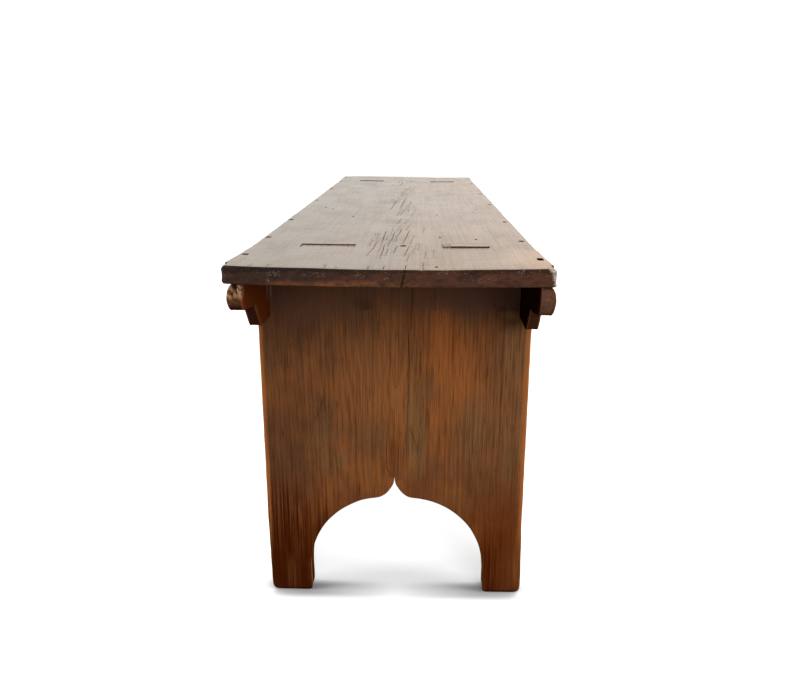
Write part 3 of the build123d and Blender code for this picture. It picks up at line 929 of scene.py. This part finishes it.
LOST_NAIL = (seat_high.x - 0.0060, seat_low.y + 0.0580)
seat_wax, shader = new_finish("waxed seat wood")
SEAT_BROWN = (0.153, 0.102, 0.044)
SEAT_ROSE = (0.245, 0.142, 0.062)
SEAT_WARM = (0.420, 0.215, 0.080)
SEAT_DARK = (0.075, 0.038, 0.020)
SEAT_SHADE_BLACK = (0.012, 0.007, 0.005)
place, parts = where()
fibre = streaks(place, (420, 7, 420), (6.1, 2.2, 0.9))
fine = streaks(place, (1500, 30, 1500), (0.4, 3.2, 6.0), detail=2.0)
cloud = streaks(place, (13, 6, 13), (1.2, 5.1, 3.7))
smear = streaks(place, (24, 12, 24), (7.2, 1.8, 2.3), detail=5.0)
ring = rings(place, (-0.01, 0.0, 0.39), (0.012, 0.0, 0.02), 0.0040, 1, (1.4, 3.2, 0.1))
side = shifted(parts[0], cloud, 0.35)
colour = stain(span(side, -0.12, 0.15), SEAT_BROWN, SEAT_ROSE)
warm = smudge(place, (0.165, -0.60, 0.457), (0.045, 0.11, 1.0), smear)
colour = coats(
    colour,
    (times(warm, 0.8), SEAT_WARM),
    (times(ring, 0.22), SEAT_DARK),
    (span(fibre, 0.50, 0.72, 0.0, 0.40), SEAT_DARK),
    (span(fine, 0.58, 0.72, 0.0, 0.40), SEAT_DARK),
    (span(smear, 0.55, 0.72, 0.0, 0.40), SEAT_DARK),
    # Cracks, nail holes and dents are filled with painted shade.
    (mark("hollow_shade"), SEAT_SHADE_BLACK),
)
gloss = plus(span(fibre, 0.3, 0.7, 0.20, 0.24), span(smear, 0.35, 0.65, 0.0, 0.05))
gloss = plus(gloss, times(mark("hollow_shade"), 0.6))
tree.links.new(span(mark("hollow_shade"), 0.05, 0.5, 0.5, 0.0), shader.inputs["Specular IOR Level"])
height = plus(plus(times(fibre, 0.7), times(ring, -0.4)), times(fine, 0.3))
sawn = streaks(place, (16, 75, 16), (3.9, 0.6, 2.8))
close_finish(shader, colour, gloss, (0.06, 0.0006, height), (0.5, 0.0006, sawn))

seat_edge_and_wall_shade, shader = new_finish("dark seat edges and shaded walls")
EDGE_BROWN = (0.073, 0.029, 0.017)
EDGE_DARK = (0.036, 0.019, 0.014)
EDGE_RED = (0.170, 0.062, 0.024)
EDGE_BLACK = (0.014, 0.008, 0.007)
EDGE_BARE = (0.420, 0.350, 0.300)
EDGE_FLECKS = [((-0.112, 0.4512), (0.009, 0.0030), 0.40), ((-0.119, 0.4465), (0.002, 0.0050), 0.45),
               ((-0.072, 0.4515), (0.012, 0.0030), 0.25), ((-0.028, 0.4505), (0.009, 0.0030), 0.35),
               ((-0.002, 0.4500), (0.003, 0.0050), 0.45), ((0.033, 0.4553), (0.002, 0.0024), 0.80),
               ((0.058, 0.4535), (0.008, 0.0024), 0.45), ((0.096, 0.4456), (0.012, 0.0035), 0.40),
               ((0.132, 0.4535), (0.004, 0.0035), 0.60)]
place, parts = where()
fibre = streaks(place, (300, 9, 520), (4.1, 1.2, 0.3))
patch = streaks(place, (26, 12, 60), (1.6, 4.1, 2.2), detail=5.0)
fleck = streaks(place, (560, 560, 800), (5.2, 0.8, 4.3), detail=3.0)
mottle = streaks(place, (130, 60, 260), (0.9, 2.6, 5.5), detail=6.0, rough=0.75)
year = streaks(place, (60, 3, 420), (2.7, 0.5, 7.1), detail=3.0)
reach_right = shifted(parts[0], patch, 0.3)
colour = stain(span(reach_right, -0.10, 0.04), EDGE_DARK, EDGE_BROWN)
colour = stain(span(patch, 0.50, 0.66, 0.0, 0.6), colour, EDGE_DARK)
foot = times(span(parts[0], -0.135, -0.095), span(parts[0], 0.06, -0.01))
foot = times(foot, span(parts[2], 0.4470, 0.4405))
colour = coats(
    colour,
    (times(foot, span(patch, 0.35, 0.55, 0.35, 0.85)), EDGE_RED),
    (span(year, 0.50, 0.68, 0.0, 0.5), EDGE_DARK),
    (span(fibre, 0.50, 0.70, 0.0, 0.5), EDGE_DARK),
    (span(mottle, 0.50, 0.64, 0.0, 0.60), EDGE_BLACK),
    (span(mottle, 0.30, 0.46, 0.30, 0.0), EDGE_RED),
)
brow = shifted(parts[2], patch, 0.012)
colour = stain(span(brow, 0.4515, 0.4550, 0.0, 0.60), colour, EDGE_BLACK)
scuffed = times(span(parts[0], 0.00, 0.10, 0.35, 1.0), span(parts[2], 0.445, 0.453))
speck = times(scuffed, span(fleck, 0.63, 0.70, 0.0, 0.40))
worn = shifted(parts[0], mottle, 0.010)
worn = plus(worn, times(calc("SUBTRACT", parts[2], 0.4500), 0.3))
corner = times(span(worn, 0.1605, 0.1635), span(parts[1], -0.640, -0.645))
corner = times(corner, span(fleck, 0.36, 0.52, 0.15, 0.95))
colour = stain(calc("MAXIMUM", speck, corner), colour, EDGE_BARE)
for (x, z), (wide, tall), strength in EDGE_FLECKS:
    mask = smudge(place, (x, seat_low.y, z), (wide, 0.02, tall), mottle)
    mask = times(mask, span(fleck, 0.54, 0.64, 0.0, strength))
    colour = stain(mask, colour, EDGE_BARE)
# Cracks and holes on the edge faces are filled with painted shade.
colour = stain(mark("hollow_shade"), colour, SEAT_SHADE_BLACK)
shader.inputs["Specular IOR Level"].default_value = 0.05
height = plus(plus(times(fibre, 0.6), times(fleck, 0.5)), mottle)
close_finish(shader, colour, span(fibre, 0.3, 0.7, 0.5, 0.7), (0.6, 0.0012, height))


def plank_outline(low, high, corners, front_splits, back_splits):
    """The seat's outline: rounded corners, and a notch where each end has split."""
    points = []
    middles = ((low[0], low[1]), (high[0], low[1]), (high[0], high[1]), (low[0], high[1]))
    for i, (corner, radius) in enumerate(zip(middles, corners)):
        toward = (1 if i in (0, 3) else -1, 1 if i < 2 else -1)
        centre = np.array(corner) + np.array(toward) * radius
        for step in range(7):
            angle = math.radians(180 + 90 * i + 15 * step)
            points.append(centre + radius * np.array([math.cos(angle), math.sin(angle)]))
        start, end = points[-1], np.array(middles[(i + 1) % 4])
        end = end + np.array([(-1, 0), (0, -1), (1, 0), (0, 1)][i]) * corners[(i + 1) % 4]
        steps = round(np.linalg.norm(end - start) / SEAT_POINT_GAP)
        edge = [start + (end - start) * s / steps for s in range(1, steps)]
        for x, width, depth in {0: front_splits, 2: back_splits}.get(i, ()):
            face, way = (low[1], 1) if i == 0 else (high[1], -1)
            edge = [p for p in edge if abs(p[0] - x) > width]
            notch = ((x - width / 2, face), (x, face + way * depth), (x + width / 2, face))
            edge += [np.array(point) for point in notch]
            edge.sort(key=lambda p: way * p[0])
        points += edge
    return np.array(points)


outline = plank_outline(seat_low, seat_high, SEAT_CORNERS, SEAT_END_SPLITS, BACK_END_SPLITS)
at_end = np.abs(outline[:, 1]) > seat_high.y - 0.0005
from_near = outline[:, 1] - seat_low.y
by_left = np.clip(-outline[:, 0] / seat_high.x, 0, 1) ** 4
outline[:, 0] += by_left * SEAT_TAPER * ramp(from_near, 0.012, 0.15)
for edge, flare in SEAT_FLARE.items():
    by_edge = np.clip(edge * outline[:, 0] / seat_high.x, 0, 1) ** 4
    outline[:, 0] += edge * flare * by_edge * np.clip(1 - from_near / 0.15, 0, 1)
nibble = uneven(SEAT_NIBBLE, outline, 0.012, 21) + uneven(SEAT_END_NIBBLE, outline, 0.05, 22) * at_end
nibble = np.where(at_end | (np.abs(outline[:, 1]) < 0.64), nibble, SEAT_NIBBLE)
outline = outline + into_wood(outline, False) * nibble[:, None]
mortises = [draw_even(loop, MORTISE_POINT_GAP) for loop in face_loops("seat_plank", 2, 1)[1:5]]


def seat_arris(loop, upper):
    if len(loop) < MORTISE_POINTS_MOST:
        return np.full(len(loop), MORTISE_ARRIS)
    ends = np.abs(loop[:, 1]) > seat_high.y - 0.004
    size = np.where(ends, SEAT_END_ARRIS, SEAT_ARRIS if upper else SEAT_UNDER_ARRIS)
    by_split = np.abs(loop[:, 0] - SEAT_END_SPLITS[0][0]) < SPLIT_HALF
    size = np.where(ends & by_split, SPLIT_ARRIS, size)
    corner = np.clip(1 - (seat_high.x - np.abs(loop[:, 0])) / 0.02, 0, 1) * (loop[:, 1] < -0.63)
    return size * (1 + 0.35 * wander(loop, 0.03, 23 + upper)) + WORN_CORNER * corner * upper


def seat_relief(points, upper):
    if not upper:
        return uneven(SEAT_UNDER_WAVE, points, 0.04, 25) + seat_cup(*points.T)
    swell = uneven(SEAT_SWELL, points * [1, 0.6], 0.045, 26) + uneven(SEAT_RIPPLE, points, 0.014, 27)
    return seat_wear(*points.T) + swell


def seat_side(loop, share):
    ends = np.abs(loop[:, 1]) > 0.645
    return uneven(np.where(ends, SEAT_END_ROUGH, SEAT_SIDE_ROUGH), loop + share * 0.012, 0.007, 28)


cuts = []
for i, (start, end) in enumerate(SEAT_CHECKS):
    start, end = (np.array(point) + [LEG_MIDDLE, seat_low.y] for point in (start, end))
    length = np.linalg.norm(end - start)
    cuts.append(drying_split(start, end, 0.0006 + 0.0016 * min(length, 0.2), CHECK_DEPTH, 40 + i, CHECK_SWAY))
for x, _, depth in SEAT_END_SPLITS:
    start = np.array([x, seat_low.y + depth + 0.0010])
    cuts.append(drying_split(start, start + END_CHECK_RUN, END_CHECK_WIDTH, END_CHECK_DEPTH, x))
for i, x in enumerate(SEAT_EDGE_NICKS):
    start = np.array([x, seat_low.y + 0.0032])
    end = start + [0.0005, 0.008 + 0.006 * (i % 3)]
    cuts.append(drying_split(start, end, NICK_WIDTH, NICK_DEPTH, 70 + i))
rng = np.random.default_rng(18)
while len(cuts) < CHECKS:
    beside = np.array(SEAT_CHECKS[rng.integers(len(SEAT_CHECKS))])
    along = (beside[1] - beside[0]) / np.linalg.norm(beside[1] - beside[0])
    start = beside.mean(axis=0) + [LEG_MIDDLE + rng.normal(0, 0.007), seat_low.y + rng.normal(0, 0.04)]
    end = start + along * rng.uniform(0.03, 0.10)
    cut = drying_split(start, end, rng.uniform(0.00025, 0.00045), FINE_CHECK_DEPTH, len(cuts))
    apart = min(reach(cut["line"], other["line"], closed=False).min() for other in cuts)
    if apart > CHECKS_APART and np.abs(cut["line"][:, 1]).max() < seat_high.y - 0.03:
        cuts.append(cut)
pockets = []
for node in ("left_seat_nails", "right_seat_nails", "leg_top_nails"):
    for start, end in nail_places(node):
        half = (end[:2] - start[:2]) / 2 + SEAT_NAIL_ROOM
        pockets.append(((start[:2] + end[:2]) / 2, half, SEAT_NAIL_POCKET, 0.97))
pockets.append((np.array(LOST_NAIL), np.array(LOST_NAIL_HALF), LOST_NAIL_DEPTH, 1.0))
for x, y in SEAT_DENTS:
    pockets.append((np.array([x + LEG_MIDDLE, y + seat_low.y]), np.array(DENT_HALF), DENT_DEPTH, 0.9))
for i, (middle, half, depth, dark) in enumerate(pockets):
    spot = np.array([middle, middle + 1e-5])
    clear = max(half) * 1.3
    cuts = [cut for cut in cuts if reach(cut["points"], spot, closed=False).min() > clear]
    cuts.append(pocket(middle, half, depth, dark, 60 + i))
seat = carve_board("seat_plank_wood", [outline, *mortises], lambda *spot: spot, (seat_low.z, seat_high.z),
                   SEAT_GRID, seat_arris, (0, 1, 0), seat_relief, cuts, SEAT_WALL_ROWS, seat_side)
seat.data.materials.append(seat_wax)
# The dark edge finish covers the seat's edges and underside, and also the steep walls of mortises, cracks and
# holes, where it is painted shade.
paint(seat, seat_edge_and_wall_shade, lambda middle, normal: normal.z < 0.3 or normal.z < 0.93 and (
    abs(middle.x) > seat_high.x - 0.004 or abs(middle.y) > seat_high.y - 0.007))
for vert in seat.data.vertices:
    near = max(0.0, 1 - abs(vert.co.x - SEAT_END_SPLITS[0][0]) / SPLIT_REACH)
    near *= max(0.0, 1 - (vert.co.y - seat_low.y) / SPLIT_REACH)
    vert.co.x -= SPLIT_LEAN * near * (seat_high.z - vert.co.z) / (seat_high.z - seat_low.z)
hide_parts("seat_plank")
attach(seat, "root")


# Tenon wedges: a slip of darker wood driven down beside each tenon, at its inner end, to spread it in
# its mortise. Cut off level with the tenon's top, so only end grain shows.
WEDGES = [f"{end}_{side}_tenon_wedge" for end in ("front", "rear") for side in ("left", "right")]
WEDGE_POINT_GAP = 0.002
WEDGE_GRID = (0.002, 0.003)
WEDGE_WALL_ROWS = 3
WEDGE_ARRIS = 0.0004
WEDGE_FACE_WAVE = 0.0001
wedge_end_grain, shader = new_finish("waxed wedge ends")
WEDGE_BROWN = (0.165, 0.088, 0.042)
WEDGE_DARK = (0.055, 0.028, 0.015)
place = add("TexCoord").outputs["Object"]
fibre = streaks(place, (500, 500, 14), (2.1, 3.2, 0.4))
pores = streaks(place, (1400, 1400, 60), (1.7, 0.3, 2.6), detail=2.0)
colour = coats(
    WEDGE_BROWN,
    (span(fibre, 0.35, 0.65), WEDGE_DARK),
    (span(pores, 0.56, 0.70, 0.0, 0.7), WEDGE_DARK),
    # The wedges' side walls, in the gap beside each tenon, are painted shade.
    (times(mark("wall"), 0.95), LEG_SHADE_BLACK),
)
close_finish(shader, colour, span(fibre, 0.3, 0.7, 0.22, 0.36), (0.12, 0.0005, fibre))
for name in WEDGES:
    outline = draw_even(face_loops(name, 2, 1)[0], WEDGE_POINT_GAP)
    low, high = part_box(name)
    worn = float(seat_wear((low.x + high.x) / 2, (low.y + high.y) / 2))
    wedge = carve_board(name + "_wood", [outline], lambda *spot: spot, (low.z, high.z - worn), WEDGE_GRID,
                        lambda loop, upper: np.full(len(loop), WEDGE_ARRIS), (0, 0, 1),
                        lambda points, upper: uneven(WEDGE_FACE_WAVE, points, 0.004, 31) * upper,
                        rows=WEDGE_WALL_ROWS)
    wedge.data.materials.append(wedge_end_grain)
    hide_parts(name)
    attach(wedge, "root")


# Cut nails: square iron nails, sheared from plate, with a small hammered head and a shank that tapers
# on two sides. Driven down through the seat's edges, and through the aprons into the legs.
NAIL_NODES = ("left_seat_nails", "right_seat_nails", "leg_top_nails", "left_apron_nails", "right_apron_nails")
NAIL_SUNK = 0.0018
nail_rust, shader = new_finish("rusted nail iron")
IRON_BLACK = (0.012, 0.010, 0.009)
IRON_RUST = (0.045, 0.018, 0.009)
place = add("TexCoord").outputs["Object"]
crust = streaks(place, (500, 500, 500), (0.3, 1.2, 2.4))
grit = streaks(place, (2200, 2200, 2200), (3.3, 0.2, 1.4), detail=2.0)
colour = stain(span(crust, 0.42, 0.62), IRON_BLACK, IRON_RUST)
colour = stain(span(grit, 0.55, 0.7, 0.0, 0.6), colour, IRON_BLACK)
shader.inputs["Specular IOR Level"].default_value = 0.05
close_finish(shader, colour, span(crust, 0.35, 0.65, 0.7, 0.95), (0.5, 0.0003, grit))

tree = nail_tree = bpy.data.node_groups.new("cut nails", "GeometryNodeTree")
nail_tree.is_modifier = True
sockets = nail_tree.interface
sockets.new_socket("Heads", in_out="INPUT", socket_type="NodeSocketGeometry")
NAIL_SIZES = {"Head Length": 0.007, "Head Width": 0.005, "Head Thickness": 0.002, "Shank Width": 0.0042,
              "Shank Thickness": 0.0028, "Point Share": 0.4, "Length": 0.044, "Hammer Marks": 0.0007}
NAIL_CROWN = 0.0022
NAIL_ASKEW = 0.2
for label, size in NAIL_SIZES.items():
    sockets.new_socket(label, in_out="INPUT", socket_type="NodeSocketFloat").default_value = size
sockets.new_socket("Seed", in_out="INPUT", socket_type="NodeSocketInt").default_value = 4
sockets.new_socket("Nails", in_out="OUTPUT", socket_type="NodeSocketGeometry")
given = add("NodeGroupInput").outputs


def iron_bar(labels, counts):
    """A square bar of the named sizes, cut across into rows of points, and its size."""
    size = add("CombineXYZ", {i: given[label] for i, label in enumerate(labels)}).outputs[0]
    inputs = {"Size": size, **{"Vertices " + axis: count for axis, count in zip("XYZ", counts)}}
    return add("GeometryNodeMeshCube", inputs).outputs["Mesh"], size


def push(shape, **moves):
    """A shape with its points moved."""
    return add("GeometryNodeSetPosition", {"Geometry": shape, **moves}).outputs[0]


spot = add("GeometryNodeInputPosition").outputs[0]
head, head_size = iron_bar(("Head Length", "Head Width", "Head Thickness"), (5, 4, 3))
flat = vector("MULTIPLY", vector("DIVIDE", spot, head_size), (1.0, 1.0, 0.0))
edge = add("VectorMath", {0: flat, 1: flat}, operation="DOT_PRODUCT").outputs["Value"]
crown = plus(times(edge, -NAIL_CROWN), times(given["Head Thickness"], -0.5))
head = push(head, Offset=add("CombineXYZ", {2: crown}).outputs[0])
shank, _ = iron_bar(("Shank Width", "Shank Thickness", "Length"), (2, 2, 7))
share = calc("DIVIDE", add("SeparateXYZ", {0: spot}).outputs[2], given["Length"])
narrow = add("MapRange", {"Value": share, 1: 0.5, 2: -0.5, 3: 1.0, 4: given["Point Share"]}).outputs[0]
tapered = vector("MULTIPLY", spot, add("CombineXYZ", {0: narrow, 1: 1.0, 2: 1.0}).outputs[0])
drop = add("CombineXYZ", {2: times(given["Length"], -0.5)}).outputs[0]
shank = push(shank, Position=tapered, Offset=drop)
nail = add("GeometryNodeJoinGeometry")
tree.links.new(shank, nail.inputs[0])
tree.links.new(head, nail.inputs[0])
drive = add("GeometryNodeInputNamedAttribute", {"Name": "drive"}, data_type="FLOAT_VECTOR").outputs[0]
spin = add("GeometryNodeInputNamedAttribute", {"Name": "spin"}, data_type="FLOAT").outputs[0]
stand = add("FunctionNodeAlignRotationToVector", {"Vector": drive}, axis="Z").outputs[0]
askew = {2: -NAIL_ASKEW, 3: NAIL_ASKEW, "Seed": given["Seed"]}
spin = plus(spin, add("FunctionNodeRandomValue", askew, data_type="FLOAT").outputs[1])
twist = add("FunctionNodeEulerToRotation", {0: add("CombineXYZ", {2: spin}).outputs[0]}).outputs[0]
stand = add("FunctionNodeRotateRotation", {0: stand, 1: twist}, rotation_space="LOCAL").outputs[0]
nail = {"Points": given["Heads"], "Instance": nail.outputs[0], "Rotation": stand}
driven = add("GeometryNodeInstanceOnPoints", nail).outputs[0]
driven = add("GeometryNodeRealizeInstances", {"Geometry": driven}).outputs[0]
dents = add("TexNoise", {"Scale": 420.0, "Detail": 1.0}).outputs["Color"]
dents = vector("SUBTRACT", dents, (0.5, 0.5, 0.5))
dents = add("VectorMath", {0: dents, "Scale": given["Hammer Marks"]}, operation="SCALE").outputs[0]
driven = push(driven, Offset=dents)
driven = add("GeometryNodeSetMaterial", {"Geometry": driven, "Material": nail_rust}).outputs[0]
tree.links.new(driven, add("NodeGroupOutput").inputs[0])
identifier = {item.name: item.identifier for item in sockets.items_tree if item.in_out == "INPUT"}

for node in NAIL_NODES:
    places = nail_places(node)
    size = places[0][1] - places[0][0]
    along = int(np.argmax(size))
    across = [i for i in range(3) if i != along]
    heads, drives, spins = [], [], []
    for low, high in places:
        middle = (low + high) / 2
        outward = 1.0 if along == 2 else float(np.sign(middle[along]))
        middle[along] = high[along] if outward > 0 else low[along]
        if along == 2:
            middle[2] -= seat_wear(middle[0], middle[1]) + NAIL_SUNK
        heads.append(middle)
        drives.append([outward if i == along else 0.0 for i in range(3)])
        spins.append(0.0 if size[across[0]] > size[across[1]] else math.pi / 2)
    mesh = bpy.data.meshes.new(node + " heads")
    mesh.from_pydata(heads, [], [])
    note(mesh, "drive", drives, "FLOAT_VECTOR", "vector")
    note(mesh, "spin", spins)
    source = bpy.data.objects.new(node + " heads", mesh)
    bpy.context.scene.collection.objects.link(source)
    modifier = source.modifiers.new("cut nails", "NODES")
    modifier.node_group = nail_tree
    modifier[identifier["Length"]] = float(size[along])
    modifier[identifier["Head Length"]] = float(max(size[i] for i in across))
    modifier[identifier["Head Width"]] = float(min(size[i] for i in across))
    solid = source.evaluated_get(bpy.context.evaluated_depsgraph_get())
    nails = bpy.data.objects.new(node + "_iron", bpy.data.meshes.new_from_object(solid))
    bpy.data.objects.remove(source)
    bpy.context.scene.collection.objects.link(nails)
    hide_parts(node)
    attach(nails, "root")


# Studio: a white floor and a white backdrop, soft light from both sides and from the front, and a
# camera just in front of the bench's near end, a little above its seat. The waxed seat mirrors the
# white backdrop only, not the lamps, which would bleach it from the sides and from behind.
FLOOR_SIZE = 14.0
FLOOR_WHITE = (0.95, 0.95, 0.95)
FLOOR_GREY = (0.30, 0.30, 0.30, 1.0)
FLOOR_BLACK = (0.0, 0.0, 0.0)
SHADE_REACH = 0.12
SHADE_DEPTH = 0.68
SHADE_SHIFT = 0.0105
BACKDROP_WHITE = (1.0, 1.0, 1.0, 1.0)
BACKDROP_LIGHT = 0.28
LAMPS = {"right light": ((0.86, -0.06, 0.50), 2.9, 32), "left light": ((-0.86, -0.06, 0.50), 2.6, 32),
         "front light": ((0.25, -0.90, 0.40), 1.85, 40)}
CAMERA_PLACE = (0.02925, -1.38462, 0.59470)
CAMERA_DOWN = 0.28032
CAMERA_ROLL = -0.00028
CAMERA_LEFT = 0.02703
CAMERA_LENS = 34.36
CAMERA_SENSOR = 36.0
half = FLOOR_SIZE / 2
floor_mesh = bpy.data.meshes.new("floor")
corners = [(-half, -half, 0), (half, -half, 0), (half, half, 0), (-half, half, 0)]
floor_mesh.from_pydata(corners, [], [(0, 1, 2, 3)])
floor = bpy.data.objects.new("floor", floor_mesh)
bpy.context.scene.collection.objects.link(floor)


def seen_white():
    """1 where the camera, a reflection or glass looks at a surface, and 0 where it only lights others."""
    path = add("LightPath").outputs
    return calc("MAXIMUM", path["Is Camera Ray"],
                calc("MAXIMUM", path["Is Glossy Ray"], path["Is Transmission Ray"]))


floor_white = bpy.data.materials.new("white floor")
floor_white.use_nodes = True
tree = floor_white.node_tree
tree.nodes.clear()
# The floor's shadow is partly painted: occlusion towards the sides is kept by place to a strip along each
# leg's feet, the floor between the legs is darkened by place as painted shadow, and the floor glows more
# beside the bench than under it, painted light that hides the bench's shadows there.
_, parts = where()
away = add("MapRange", {"Value": parts[0], 1: -0.08, 2: 0.08, 3: -0.75, 4: 0.75}).outputs[0]
aim = add("CombineXYZ", {0: away, 2: 0.6}).outputs[0]
open_side = add("AmbientOcclusion", {"Distance": SHADE_REACH, "Normal": aim}, samples=16).outputs["AO"]
beside = calc("ABSOLUTE", parts[0])
length = calc("ABSOLUTE", parts[1])
off_leg = calc("ABSOLUTE", calc("SUBTRACT", length, LEG_LINE + SHADE_SHIFT))
under = times(span(off_leg, 0.025, 0.008, 0.0, SHADE_DEPTH), span(parts[0], -0.05, 0.05, 1.0, 0.95))
shade = calc("SUBTRACT", 1.0, calc("POWER", open_side, 5.0))
shade = calc("SUBTRACT", 1.0, times(under, shade))
painted_bench_shadow = times(span(length, 0.20, 0.49), span(length, 0.54, 0.50), span(beside, 0.17, 0.11, 0.0, 0.16))
shade = times(shade, calc("SUBTRACT", 1.0, painted_bench_shadow))
painted_floor_glow = span(beside, 0.150, 0.178, 0.02, 0.34)
glow = add("Emission", {"Strength": times(shade, painted_floor_glow)}).outputs[0]
paper = add("BsdfDiffuse", {"Color": stain(shade, FLOOR_BLACK, FLOOR_WHITE)}).outputs[0]
bright = add("AddShader", {0: glow, 1: paper}).outputs[0]
grey = add("BsdfDiffuse", {"Color": FLOOR_GREY}).outputs[0]
mixed = add("MixShader", {0: seen_white(), 1: grey, 2: bright}).outputs[0]
tree.links.new(mixed, add("OutputMaterial").inputs[0])
floor_mesh.materials.append(floor_white)

world = bpy.data.worlds.new("white backdrop")
world.use_nodes = True
tree = world.node_tree
tree.nodes.clear()
soft = add("Background", {"Color": BACKDROP_WHITE, "Strength": BACKDROP_LIGHT}).outputs[0]
white = add("Background", {"Color": BACKDROP_WHITE, "Strength": 1.0}).outputs[0]
mixed = add("MixShader", {0: seen_white(), 1: soft, 2: white}).outputs[0]
tree.links.new(mixed, add("OutputWorld").inputs[0])
bpy.context.scene.world = world

for name, (toward, power, softness) in LAMPS.items():
    lamp = bpy.data.objects.new(name, bpy.data.lights.new(name, "SUN"))
    lamp.data.energy = power
    lamp.data.angle = math.radians(softness)
    lamp.rotation_euler = Vector(toward).to_track_quat("Z", "Y").to_euler()
    lamp.visible_glossy = False
    bpy.context.scene.collection.objects.link(lamp)

camera = bpy.data.objects.new("camera", bpy.data.cameras.new("camera"))
camera.data.sensor_width = CAMERA_SENSOR
camera.data.lens = CAMERA_LENS
camera.location = CAMERA_PLACE
camera.rotation_euler = (math.pi / 2 - CAMERA_DOWN, CAMERA_ROLL, CAMERA_LEFT)
bpy.context.scene.collection.objects.link(camera)
bpy.context.scene.camera = camera
bpy.context.scene.view_settings.view_transform = "Standard"
